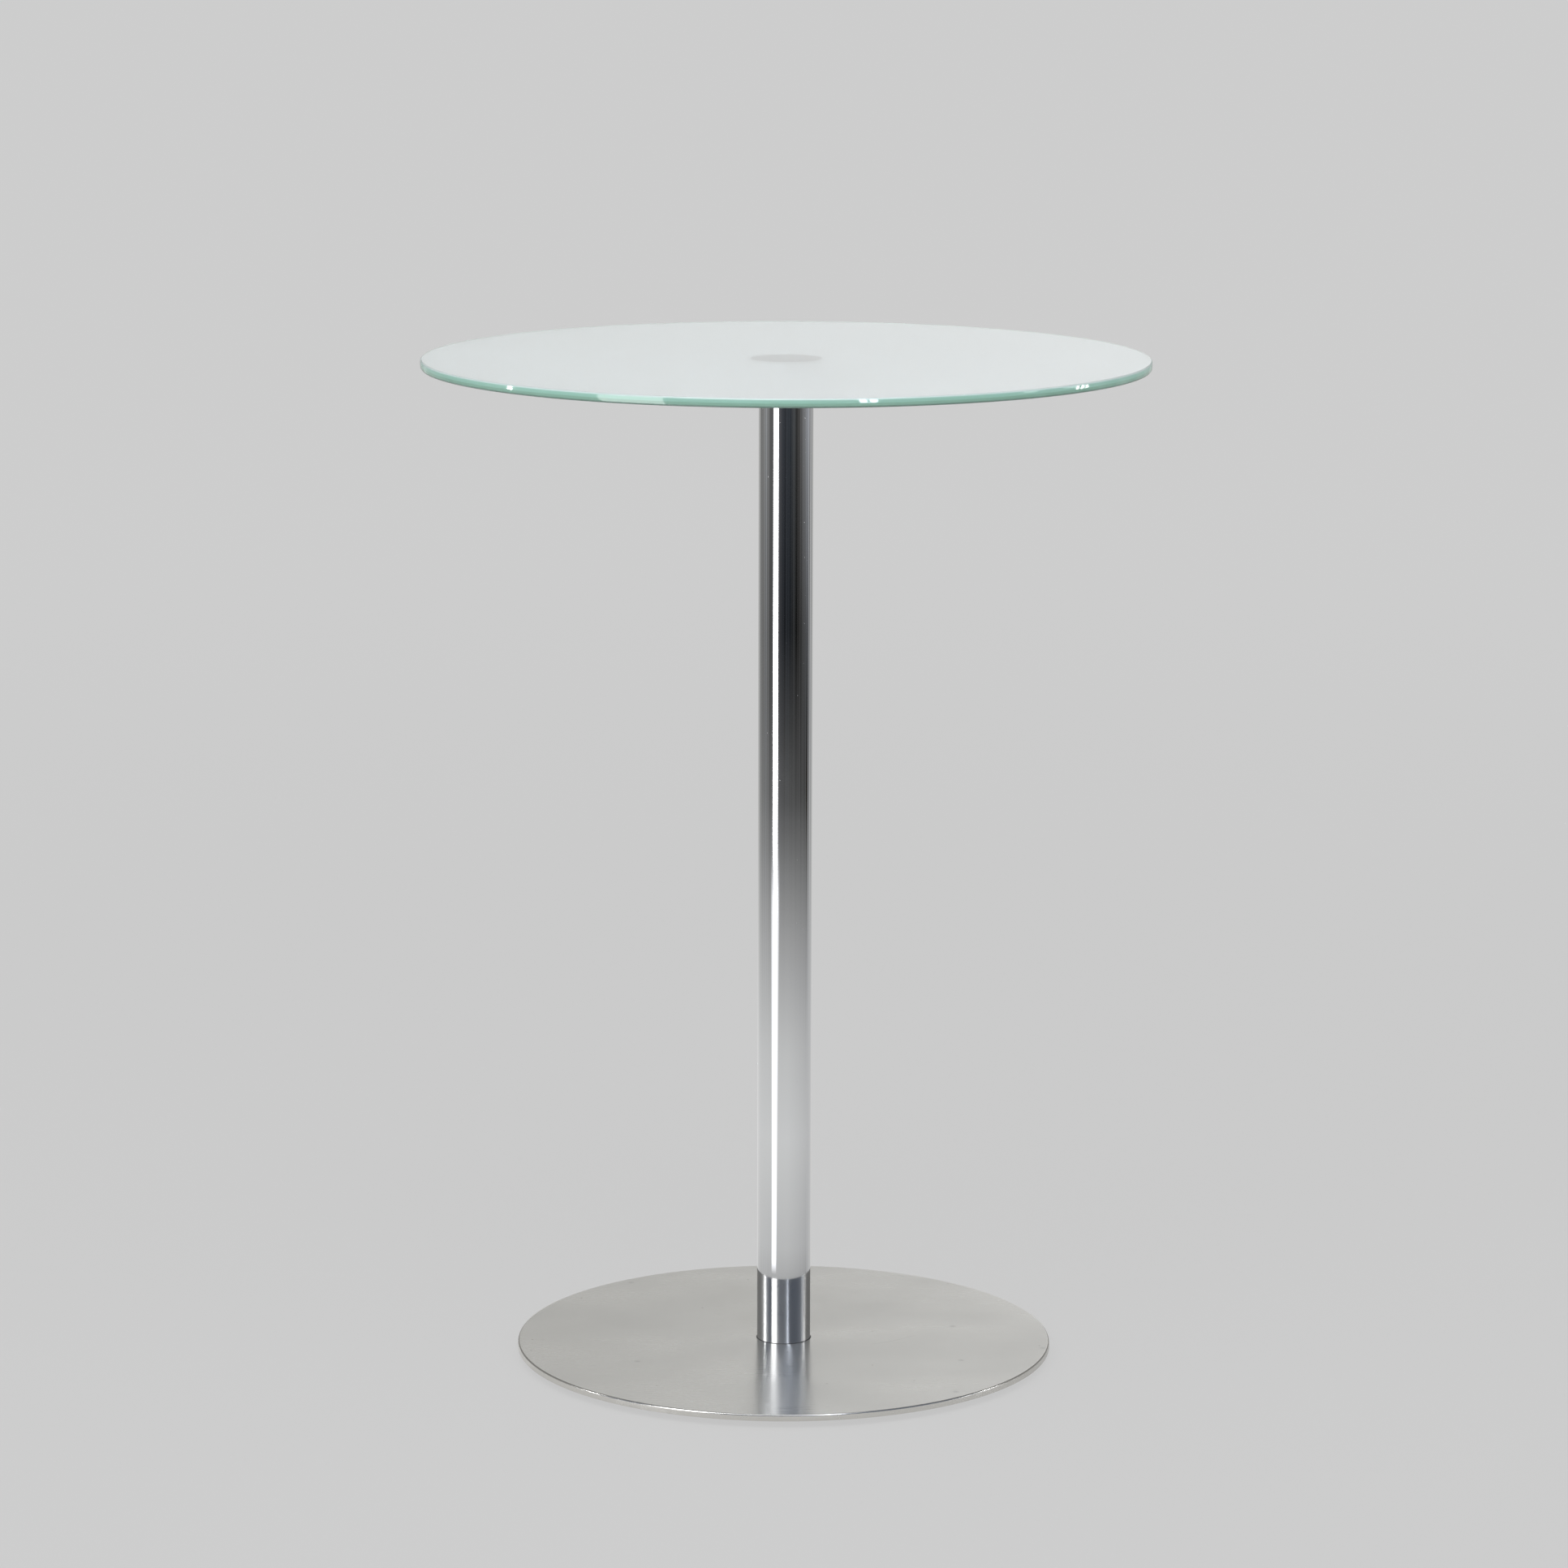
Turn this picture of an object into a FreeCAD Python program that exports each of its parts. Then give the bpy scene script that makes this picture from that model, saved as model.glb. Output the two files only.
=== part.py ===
"""A round bar table: satin glass top, chrome tube column, brushed base on four levelling glides.

Millimetres, +Z up. The origin is on the floor, on the axis of the column.
"""

import FreeCAD, Part
import os
from types import SimpleNamespace

import Sketcher

# Driving sizes: alias, millimetres, what it is
SIZES = [
    ("table_height", 1125, "floor to the upper face of the glass"),
    ("top_diameter", 800, "glass top, across"),
    ("glass_thickness", 10, "glass top, thickness"),
    ("glass_arris", 1.5, "bevel along both edges of the glass"),
    ("film_thickness", 0.3, "clear adhesive between glass and disc"),
    ("disc_diameter", 80, "steel disc bonded under the glass"),
    ("disc_thickness", 8, "flange of the bonded disc"),
    ("disc_bevel", 1, "bevel on the lower rim of the disc"),
    ("spigot_height", 6, "turned step of the disc that centres it in the tube"),
    ("spigot_clearance", 0.1, "between spigot and tube bore, radial"),
    ("bore_floor", 3, "metal left above the stud's blind hole in the disc"),
    ("stud_diameter", 12, "threaded stud that holds the top on the column"),
    ("stud_bevel", 1, "bevel at both ends of the stud"),
    ("stud_end_gap", 0.5, "room at each end of the stud"),
    ("thread_clearance", 0.05, "between a thread and its tapped hole, both drawn plain"),
    ("washer_thickness", 1, "nylon ring on the upper end of the tube"),
    ("washer_inset", 0.5, "how far the ring stands back from the tube's face"),
    ("column_diameter", 60, "column tube, outside"),
    ("column_wall", 2, "column tube, wall"),
    ("plug_clearance", 0.05, "between a welded-in plug and the tube bore, radial"),
    ("plug_bevel", 1.5, "bevel on the inner rim of a plug, for the weld"),
    ("head_plug_height", 20, "plug in the upper end of the tube"),
    ("head_plug_gap", 1, "between the plug and the spigot above it"),
    ("foot_plug_height", 20, "plug in the lower end of the tube"),
    ("base_diameter", 600, "stainless cover of the base, across"),
    ("cover_sheet", 1.2, "sheet of the cover"),
    ("cover_height", 7.2, "cover from its face to its lower rim"),
    ("cover_bend", 1.8, "outer radius of the cover's bent edge"),
    ("seal_width", 0.8, "gap between column and cover, filled by the seal"),
    ("seal_clearance", 0.05, "between the seal and its neighbours, radial"),
    ("seal_lip", 0.4, "how far the seal stands above the cover"),
    ("seal_round", 0.25, "rounding of the seal's upper edges"),
    ("tape_thickness", 0.3, "double-sided tape between cover and plate"),
    ("tape_width", 18, "width of each ring of tape"),
    ("tape_inset", 15, "tape to the hole in the cover, and to the rim of the plate"),
    ("plate_thickness", 6, "steel ballast plate"),
    ("plate_clearance", 0.5, "between the plate's rim and the cover, radial"),
    ("plate_bevel", 1, "bevel on the lower rim of the plate"),
    ("screw_diameter", 8, "countersunk screws that hold the column"),
    ("screw_head", 16, "head of such a screw, across"),
    ("screw_length", 24, "screw, over all"),
    ("screw_bevel", 1, "bevel at the tip of the screw"),
    ("screw_sink", 0.4, "screw head above the plate's lower face"),
    ("screw_clearance", 0.5, "between shank and plate, radial"),
    ("screw_circle", 36, "circle through the screws"),
    ("glide_inset", 60, "rim of the base to the middle of a glide"),
    ("glide_thread", 8, "threaded shank of a glide"),
    ("glide_bevel", 0.8, "bevel at the tip of the shank"),
    ("glide_clearance", 0.1, "running fit of the glide in plate and pad"),
    ("shank_top_gap", 0.4, "room above the shank when it is screwed home"),
    ("collar_width", 13, "spanner collar of a glide, across its flats"),
    ("collar_height", 2.6, "spanner collar of a glide"),
    ("collar_gap", 0.4, "between collar and pad"),
    ("glide_neck", 7, "neck of the glide where the pad's lip holds it"),
    ("glide_head", 8.6, "head of the glide inside the pad, across"),
    ("glide_head_height", 1.4, "head of the glide inside the pad"),
    ("pad_diameter", 30, "floor pad"),
    ("pad_height", 4, "floor pad at its hub"),
    ("pad_hub", 16, "flat hub of the floor pad, across"),
    ("pad_rim", 2.2, "floor pad at its rim"),
    ("pad_floor", 1.2, "nylon left below the head of the glide"),
    ("pad_round", 0.8, "rounding of the pad's upper rim"),
]

GLIDES = 4
FIRST_GLIDE_ANGLE = 45
SCREWS = 4
HEXAGON_SIDES = 6
COUNTERSINK_ANGLE = 90
FULL_TURN = 360

# Numbers that a sketch gives its own origin and axes
ORIGIN = -1
LEVEL_AXIS = -1
UPRIGHT_AXIS = -2
START = 1
END = 2
CENTRE = 3


class Length:
    """A size in millimetres, with the formula that ties it to the sheet."""

    def __init__(self, value, formula):
        self.value = value
        self.formula = formula

    def __add__(self, other):
        return Length(self.value + other.value, f"({self.formula} + {other.formula})")

    def __sub__(self, other):
        return Length(self.value - other.value, f"({self.formula} - {other.formula})")

    def __mul__(self, factor):
        return Length(self.value * factor, f"({self.formula} * {factor})")

    def __truediv__(self, divisor):
        return Length(self.value / divisor, f"({self.formula} / {divisor})")


def write_sheet(document):
    """Puts the driving sizes in the sheet and returns them by name."""
    sheet = document.addObject("Spreadsheet::Sheet", "Sizes")
    for row, (alias, value, meaning) in enumerate(SIZES, start=1):
        sheet.set(f"A{row}", alias)
        sheet.set(f"B{row}", str(value))
        sheet.set(f"C{row}", meaning)
        sheet.setAlias(f"B{row}", alias)
    document.recompute()
    return SimpleNamespace(**{alias: Length(sheet.get(alias), f"Sizes.{alias}") for alias, _, _ in SIZES})


doc = FreeCAD.newDocument("bar_table")
size = write_sheet(doc)
NOTHING = Length(0, "0")

# Heights above the floor, from the floor up
collar_bottom = size.pad_height + size.collar_gap
plate_bottom = collar_bottom + size.collar_height
plate_top = plate_bottom + size.plate_thickness
cover_top = plate_top + size.tape_thickness + size.cover_sheet
glass_bottom = size.table_height - size.glass_thickness
disc_top = glass_bottom - size.film_thickness
flange_bottom = disc_top - size.disc_thickness
tube_top = flange_bottom - size.washer_thickness
spigot_bottom = flange_bottom - size.spigot_height
head_plug_bottom = spigot_bottom - size.head_plug_gap - size.head_plug_height

# Radii that neighbours share
column_radius = size.column_diameter / 2
bore_radius = column_radius - size.column_wall
plug_radius = bore_radius - size.plug_clearance
stud_radius = size.stud_diameter / 2
stud_hole_radius = stud_radius + size.thread_clearance
cover_hole_radius = column_radius + size.seal_width
plate_radius = size.base_diameter / 2 - size.cover_sheet - size.plate_clearance
glide_radius = size.base_diameter / 2 - size.glide_inset
inner_bend = size.cover_bend - size.cover_sheet


def new_body(label, height=NOTHING):
    """A body whose own floor stands at that height."""
    body = doc.addObject("PartDesign::Body", label)
    body.Label = label
    body.Placement = FreeCAD.Placement(FreeCAD.Vector(0, 0, height.value), FreeCAD.Rotation())
    body.setExpression("Placement.Base.z", height.formula)
    return body


def origin_feature(body, role):
    return next(feature for feature in body.Origin.OriginFeatures if feature.Role == role)


def new_sketch(body, name, role="XY_Plane", height=NOTHING, angle=0):
    """A sketch on one of the body's own planes, raised by that height and turned by that angle."""
    sketch = body.newObject("Sketcher::SketchObject", name)
    sketch.AttachmentSupport = [(origin_feature(body, role), "")]
    sketch.MapMode = "FlatFace"
    turn = FreeCAD.Rotation(FreeCAD.Vector(0, 0, 1), angle)
    sketch.AttachmentOffset = FreeCAD.Placement(FreeCAD.Vector(0, 0, height.value), turn)
    sketch.setExpression("AttachmentOffset.Base.z", height.formula)
    return sketch


def dimension(sketch, length, kind, *ends):
    """A dimension in the sketch that follows the sheet."""
    number = sketch.addConstraint(Sketcher.Constraint(kind, *ends, length.value))
    sketch.setExpression(f"Constraints[{number}]", length.formula)


def set_point(sketch, line, end, along, up):
    """Fixes one end of a line at its distances from the sketch's axes."""
    for length, kind, axis in ((along, "DistanceX", UPRIGHT_AXIS), (up, "DistanceY", LEVEL_AXIS)):
        if length is NOTHING:
            sketch.addConstraint(Sketcher.Constraint("PointOnObject", line, end, axis))
        else:
            dimension(sketch, length, kind, ORIGIN, START, line, end)


def draw_outline(sketch, corners):
    """A closed outline through the corners, each fixed by its two distances."""
    vectors = [FreeCAD.Vector(along.value, up.value, 0) for along, up in corners]
    ends = vectors[1:] + vectors[:1]
    lines = [sketch.addGeometry(Part.LineSegment(a, b)) for a, b in zip(vectors, ends)]
    for line, following in zip(lines, lines[1:] + lines[:1]):
        sketch.addConstraint(Sketcher.Constraint("Coincident", line, END, following, START))
    for line, (along, up) in zip(lines, corners):
        set_point(sketch, line, START, along, up)


def draw_circle(sketch, radius, along=NOTHING):
    """A circle about the sketch's origin, or that far along its level axis."""
    middle = FreeCAD.Vector(along.value, 0, 0)
    circle = sketch.addGeometry(Part.Circle(middle, FreeCAD.Vector(0, 0, 1), radius.value))
    set_point(sketch, circle, CENTRE, along, NOTHING)
    dimension(sketch, radius, "Radius", circle)


def draw_hexagon(sketch, across_flats):
    """A regular hexagon about the sketch's origin, with two level sides."""
    corner = FreeCAD.Vector(across_flats.value / 3**0.5, 0, 0)
    turn = FreeCAD.Rotation(FreeCAD.Vector(0, 0, 1), FULL_TURN / HEXAGON_SIDES)
    corners = [corner]
    for _ in range(HEXAGON_SIDES - 1):
        corners.append(turn.multVec(corners[-1]))
    circle = sketch.addGeometry(Part.Circle(FreeCAD.Vector(0, 0, 0), FreeCAD.Vector(0, 0, 1), corner.x), True)
    sketch.addConstraint(Sketcher.Constraint("Coincident", circle, CENTRE, ORIGIN, START))
    sides = [sketch.addGeometry(Part.LineSegment(a, b)) for a, b in zip(corners, corners[1:] + corners[:1])]
    for side, following in zip(sides, sides[1:] + sides[:1]):
        sketch.addConstraint(Sketcher.Constraint("Coincident", side, END, following, START))
        sketch.addConstraint(Sketcher.Constraint("PointOnObject", side, START, circle))
    for side in sides[1:]:
        sketch.addConstraint(Sketcher.Constraint("Equal", sides[0], side))
    sketch.addConstraint(Sketcher.Constraint("Horizontal", sides[1]))
    dimension(sketch, across_flats / 2, "DistanceY", ORIGIN, START, sides[1], START)


def pad(body, sketch, length):
    feature = body.newObject("PartDesign::Pad", f"{sketch.Name}_pad")
    feature.Profile = sketch
    feature.setExpression("Length", length.formula)
    doc.recompute()
    return feature


def require_cut(feature, volume_before):
    """A cut that points away from the solid removes nothing and shows no error."""
    if feature.Shape.Volume >= volume_before:
        raise RuntimeError(f"{feature.Name} cuts nothing")


def pocket_through(body, sketch):
    volume_before = body.Shape.Volume
    feature = body.newObject("PartDesign::Pocket", f"{sketch.Name}_pocket")
    feature.Profile = sketch
    feature.Type = "ThroughAll"
    feature.Reversed = True
    doc.recompute()
    require_cut(feature, volume_before)
    return feature


def polar_pattern(body, feature, count):
    pattern = body.newObject("PartDesign::PolarPattern", f"{feature.Name}_ring")
    pattern.Originals = [feature]
    pattern.Axis = (origin_feature(body, "Z_Axis"), [""])
    pattern.Angle = FULL_TURN
    pattern.Occurrences = count
    body.Tip = pattern
    doc.recompute()
    return pattern


def rim(feature, lowest=False):
    """Names of the circular edges on a feature's highest face, or its lowest."""
    box = feature.Shape.BoundBox
    level = box.ZMin if lowest else box.ZMax
    return [
        f"Edge{number}"
        for number, edge in enumerate(feature.Shape.Edges, start=1)
        if isinstance(edge.Curve, Part.Circle) and abs(edge.Curve.Center.z - level) < Part.Precision.confusion()
    ]


def dress(body, kind, feature, edges, name, length):
    """A fillet or a chamfer along edges of a feature."""
    dressed = body.newObject(f"PartDesign::{kind}", f"{body.Name}_{name}")
    dressed.Base = (feature, edges)
    dressed.setExpression("Radius" if kind == "Fillet" else "Size", length.formula)
    doc.recompute()
    return dressed


def turn_profile(body, corners):
    """A turned piece: corners of its half section, each as radius and height."""
    sketch = new_sketch(body, f"{body.Name}_section", "XZ_Plane")
    draw_outline(sketch, corners)
    feature = body.newObject("PartDesign::Revolution", f"{body.Name}_turned")
    feature.Profile = sketch
    feature.ReferenceAxis = (sketch, ["V_Axis"])
    feature.Angle = FULL_TURN
    doc.recompute()
    return feature


def make_glass_top():
    body = new_body("glass_top", glass_bottom)
    outline = new_sketch(body, "glass_outline")
    draw_circle(outline, size.top_diameter / 2)
    plate = pad(body, outline, size.glass_thickness)
    dress(body, "Chamfer", plate, rim(plate) + rim(plate, lowest=True), "arris", size.glass_arris)
    return body


def make_bond_film():
    body = new_body("bond_film", disc_top)
    outline = new_sketch(body, "film_outline")
    draw_circle(outline, size.disc_diameter / 2)
    pad(body, outline, size.film_thickness)
    return body


def make_mount_disc():
    """Flange, centring spigot and blind tapped hole, turned in one piece."""
    body = new_body("mount_disc", spigot_bottom)
    radius = size.disc_diameter / 2
    spigot_radius = bore_radius - size.spigot_clearance
    under_flange = size.spigot_height
    top = under_flange + size.disc_thickness
    bore_end = top - size.bore_floor
    turn_profile(
        body,
        [
            (stud_hole_radius, NOTHING),
            (spigot_radius, NOTHING),
            (spigot_radius, under_flange),
            (radius - size.disc_bevel, under_flange),
            (radius, under_flange + size.disc_bevel),
            (radius, top),
            (NOTHING, top),
            (NOTHING, bore_end),
            (stud_hole_radius, bore_end),
        ],
    )
    return body


def make_top_stud():
    body = new_body("top_stud", head_plug_bottom + size.stud_end_gap)
    bore_end = disc_top - size.bore_floor
    length = bore_end - head_plug_bottom - size.stud_end_gap * 2
    inner = stud_radius - size.stud_bevel
    turn_profile(
        body,
        [
            (NOTHING, NOTHING),
            (inner, NOTHING),
            (stud_radius, size.stud_bevel),
            (stud_radius, length - size.stud_bevel),
            (inner, length),
            (NOTHING, length),
        ],
    )
    return body


def make_top_washer():
    body = new_body("top_washer", tube_top)
    outline = new_sketch(body, "washer_outline")
    draw_circle(outline, column_radius - size.washer_inset)
    draw_circle(outline, bore_radius)
    pad(body, outline, size.washer_thickness)
    return body


def make_head_plug():
    """Bevelled towards the tube's end, where it is welded in, and tapped right through."""
    body = new_body("head_plug", head_plug_bottom)
    turn_profile(
        body,
        [
            (stud_hole_radius, NOTHING),
            (plug_radius, NOTHING),
            (plug_radius, size.head_plug_height - size.plug_bevel),
            (plug_radius - size.plug_bevel, size.head_plug_height),
            (stud_hole_radius, size.head_plug_height),
        ],
    )
    return body


def make_column_tube():
    body = new_body("column_tube", plate_top)
    outline = new_sketch(body, "tube_outline")
    draw_circle(outline, column_radius)
    draw_circle(outline, bore_radius)
    pad(body, outline, tube_top - plate_top)
    return body


def make_foot_plug():
    body = new_body("foot_plug", plate_top)
    outline = new_sketch(body, "plug_outline")
    draw_circle(outline, plug_radius)
    blank = pad(body, outline, size.foot_plug_height)
    dress(body, "Chamfer", blank, rim(blank), "bevel", size.plug_bevel)
    spot = new_sketch(body, "tapped_spot")
    draw_circle(spot, size.screw_diameter / 2 + size.thread_clearance, size.screw_circle / 2)
    polar_pattern(body, pocket_through(body, spot), SCREWS)
    return body


def make_foot_seal():
    """A black ring that stands on the plate and closes the gap between column and cover."""
    body = new_body("foot_seal", plate_top)
    outline = new_sketch(body, "seal_outline")
    draw_circle(outline, cover_hole_radius - size.seal_clearance)
    draw_circle(outline, column_radius + size.seal_clearance)
    ring = pad(body, outline, cover_top - plate_top + size.seal_lip)
    dress(body, "Fillet", ring, rim(ring), "round", size.seal_round)
    return body


def make_base_cover():
    """A spun sheet: a disc with a bent edge, hollow from below, with a hole for the column."""
    body = new_body("base_cover", cover_top - size.cover_height)
    outline = new_sketch(body, "cover_outline")
    draw_circle(outline, size.base_diameter / 2)
    blank = pad(body, outline, size.cover_height)
    rounded = dress(body, "Fillet", blank, rim(blank), "bend", size.cover_bend)
    open_face = min(range(len(rounded.Shape.Faces)), key=lambda n: rounded.Shape.Faces[n].CenterOfMass.z)
    sheet = body.newObject("PartDesign::Thickness", "cover_sheet_metal")
    sheet.Base = (rounded, [f"Face{open_face + 1}"])
    sheet.setExpression("Value", size.cover_sheet.formula)
    sheet.Reversed = True
    doc.recompute()
    require_cut(sheet, rounded.Shape.Volume)
    opening = new_sketch(body, "column_opening")
    draw_circle(opening, cover_hole_radius)
    pocket_through(body, opening)
    return body


def make_cover_tape():
    """Two flat rings: one round the column, one along the rim of the plate."""
    body = new_body("cover_tape", plate_top)
    outline = new_sketch(body, "tape_outline")
    inner_edge = cover_hole_radius + size.tape_inset
    outer_edge = plate_radius - size.tape_inset
    draw_circle(outline, inner_edge)
    draw_circle(outline, inner_edge + size.tape_width)
    draw_circle(outline, outer_edge - size.tape_width)
    draw_circle(outline, outer_edge)
    pad(body, outline, size.tape_thickness)
    return body


def make_base_plate():
    """The ballast: countersunk from below for the column's screws, tapped for the glides."""
    body = new_body("base_plate", plate_bottom)
    outline = new_sketch(body, "plate_outline")
    draw_circle(outline, plate_radius)
    blank = pad(body, outline, size.plate_thickness)
    upper = dress(body, "Chamfer", blank, rim(blank), "upper_bevel", inner_bend)
    dress(body, "Chamfer", upper, rim(upper, lowest=True), "lower_bevel", size.plate_bevel)

    spot = new_sketch(body, "screw_spot")
    draw_circle(spot, size.screw_diameter / 2 + size.screw_clearance, size.screw_circle / 2)
    doc.recompute()
    volume_before = body.Shape.Volume
    hole = body.newObject("PartDesign::Hole", "screw_hole")
    hole.Profile = spot
    doc.recompute()
    hole.Reversed = True
    hole.DepthType = "ThroughAll"
    hole.HoleCutType = "Countersink"
    hole.HoleCutCustomValues = True
    hole.HoleCutCountersinkAngle = COUNTERSINK_ANGLE
    hole.setExpression("Diameter", (size.screw_diameter + size.screw_clearance * 2).formula)
    cut = size.screw_head + (size.screw_sink + size.thread_clearance) * 2
    hole.setExpression("HoleCutDiameter", cut.formula)
    doc.recompute()
    require_cut(hole, volume_before)
    polar_pattern(body, hole, SCREWS)

    tapped = new_sketch(body, "glide_spot", angle=FIRST_GLIDE_ANGLE)
    draw_circle(tapped, size.glide_thread / 2 + size.glide_clearance, glide_radius)
    polar_pattern(body, pocket_through(body, tapped), GLIDES)
    return body


def make_base_screws():
    """Four countersunk screws, alike, in one group."""
    body = new_body("base_screws", plate_bottom + size.screw_sink)
    axis = size.screw_circle / 2
    shank = size.screw_diameter / 2
    head = size.screw_head / 2
    tip = shank - size.screw_bevel
    sketch = new_sketch(body, "screw_section", "XZ_Plane")
    draw_outline(
        sketch,
        [
            (axis, NOTHING),
            (axis + head, NOTHING),
            (axis + shank, head - shank),
            (axis + shank, size.screw_length - size.screw_bevel),
            (axis + tip, size.screw_length),
            (axis, size.screw_length),
        ],
    )
    middle = FreeCAD.Vector(axis.value, 0, 0)
    line = sketch.addGeometry(Part.LineSegment(middle, middle + FreeCAD.Vector(0, size.screw_length.value, 0)), True)
    set_point(sketch, line, START, axis, NOTHING)
    set_point(sketch, line, END, axis, size.screw_length)
    screw = body.newObject("PartDesign::Revolution", "screw_turned")
    screw.Profile = sketch
    screw.ReferenceAxis = (sketch, ["Axis0"])
    screw.Angle = FULL_TURN
    doc.recompute()
    polar_pattern(body, screw, SCREWS)
    return body


def place_on_glide_circle(body, number):
    """Moves a glide's piece out to its own place on the circle through the glides."""
    angle = FIRST_GLIDE_ANGLE + FULL_TURN / GLIDES * (number - 1)
    body.setExpression("Placement.Base.x", f"{glide_radius.formula} * cos({angle} deg)")
    body.setExpression("Placement.Base.y", f"{glide_radius.formula} * sin({angle} deg)")


def make_glide_pad(number):
    """A round nylon foot with a lip that snaps over the head of the glide."""
    body = new_body(f"glide_pad_{number}")
    place_on_glide_circle(body, number)
    lip = (size.glide_neck / 2) + size.glide_clearance
    cavity = (size.glide_head / 2) + size.glide_clearance
    cavity_top = size.pad_floor + size.glide_head_height + size.glide_clearance
    turned = turn_profile(
        body,
        [
            (NOTHING, NOTHING),
            (size.pad_diameter / 2, NOTHING),
            (size.pad_diameter / 2, size.pad_rim),
            (size.pad_hub / 2, size.pad_height),
            (lip, size.pad_height),
            (lip, cavity_top),
            (cavity, cavity_top),
            (cavity, size.pad_floor),
            (NOTHING, size.pad_floor),
        ],
    )
    shoulder = [
        f"Edge{index}"
        for index, edge in enumerate(turned.Shape.Edges, start=1)
        if isinstance(edge.Curve, Part.Circle)
        and abs(edge.Curve.Radius - size.pad_diameter.value / 2) < Part.Precision.confusion()
        and edge.Curve.Center.z > 0
    ]
    dress(body, "Fillet", turned, shoulder, "round", size.pad_round)
    return body


def make_glide_stud(number):
    """Head, neck and threaded shank turned in one piece, with a hexagonal spanner collar."""
    body = new_body(f"glide_stud_{number}")
    place_on_glide_circle(body, number)
    head_top = size.pad_floor + size.glide_head_height
    shank = size.glide_thread / 2
    tip = plate_top - size.shank_top_gap
    turn_profile(
        body,
        [
            (NOTHING, size.pad_floor),
            (size.glide_head / 2, size.pad_floor),
            (size.glide_head / 2, head_top),
            (size.glide_neck / 2, head_top),
            (size.glide_neck / 2, collar_bottom),
            (shank, collar_bottom),
            (shank, tip - size.glide_bevel),
            (shank - size.glide_bevel, tip),
            (NOTHING, tip),
        ],
    )
    collar = new_sketch(body, f"collar_outline_{number}", height=collar_bottom)
    draw_hexagon(collar, size.collar_width)
    pad(body, collar, size.collar_height)
    return body


def check_and_write(bodies):
    """Writes one file for each piece, once every object of the document is sound."""
    doc.recompute()
    for item in doc.Objects:
        if {"Invalid", "Error"} & set(item.State):
            raise RuntimeError(f"{item.Name} is {item.State}")
    for body in bodies:
        if body.Shape.isNull() or not body.Shape.isValid() or not body.Shape.Solids:
            raise RuntimeError(f"{body.Label} has no sound solid")
    os.makedirs("parts", exist_ok=True)
    for body in bodies:
        body.Shape.exportStep(f"parts/{body.Label}.step")
        print(f"{body.Label}: {len(body.Shape.Solids)} solids, {body.Shape.Volume / 1000:.2f} cm3")


pieces = [
    make_glass_top(),
    make_bond_film(),
    make_mount_disc(),
    make_top_stud(),
    make_top_washer(),
    make_head_plug(),
    make_column_tube(),
    make_foot_plug(),
    make_foot_seal(),
    make_base_cover(),
    make_cover_tape(),
    make_base_plate(),
    make_base_screws(),
]
for glide in range(1, GLIDES + 1):
    pieces.append(make_glide_pad(glide))
    pieces.append(make_glide_stud(glide))
check_and_write(pieces)
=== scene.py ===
"""Looks of the bar table: satin glass top, chrome column and brushed base, in a plain studio."""

import math

import bmesh
import bpy
from mathutils import Matrix, Vector


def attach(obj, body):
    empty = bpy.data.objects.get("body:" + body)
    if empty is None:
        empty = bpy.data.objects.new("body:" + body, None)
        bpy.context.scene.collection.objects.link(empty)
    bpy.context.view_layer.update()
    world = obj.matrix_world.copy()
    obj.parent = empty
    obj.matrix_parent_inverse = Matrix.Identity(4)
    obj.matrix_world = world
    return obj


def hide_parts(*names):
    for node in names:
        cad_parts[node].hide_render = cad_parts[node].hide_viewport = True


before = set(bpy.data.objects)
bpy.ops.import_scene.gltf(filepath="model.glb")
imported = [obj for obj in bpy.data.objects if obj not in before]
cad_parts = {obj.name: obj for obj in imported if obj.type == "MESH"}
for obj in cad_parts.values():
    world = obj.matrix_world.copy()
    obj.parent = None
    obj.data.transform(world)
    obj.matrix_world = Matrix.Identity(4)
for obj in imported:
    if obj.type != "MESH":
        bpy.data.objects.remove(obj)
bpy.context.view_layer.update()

MM = 0.001

# Fineness of the meshes: sides of a ring, steps of an arc or thread, and the angle that stays sharp
LARGE_RING = 288
COLUMN_RING = 192
SMALL_RING = 72
FILLET_STEPS = 4
BEND_STEPS = 12
EDGE_STEPS = 5
THREAD_STEPS = 8
SHARP_ANGLE = math.radians(32)
# A row beside each arc, this share of its radius away
HOLD_SHARE = 0.4

# Sizes in millimetres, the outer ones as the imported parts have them

# Roundings of small edges, and how far a cutting tool reaches past a face
EDGE_BREAK = 0.3
FINE_BREAK = 0.2
TOOL_REACH = 1

# Top
GLASS_RADIUS = 400
GLASS_BOTTOM = 1115
GLASS_TOP = 1125
GLASS_ARRIS = 1.5
GLASS_RINGS = (60, 150, 270)
EDGE_CROWN = 0.25
FILM_GAP = 0.02
FILM_BEAD = 0.1
DISC_RADIUS = 40
DISC_TOP = 1114.7
DISC_BOTTOM = 1106.7
DISC_BEVEL = 1
SPIGOT_RADIUS = 27.9
SPIGOT_BOTTOM = 1100.7
SPIGOT_ROUND = 0.5
STUD_HOLE_RADIUS = 6.05
STUD_HOLE_TOP = 1111.7
STUD_RADIUS = 6
STUD_BOTTOM = 1080.2
STUD_TOP = 1111.2
STUD_BEVEL = 1
STUD_PITCH = 1.75

# Column
COLUMN_RADIUS = 30
BORE_RADIUS = 28
COLUMN_TOP = 1105.7
COLUMN_ROW_STEP = 100

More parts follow.
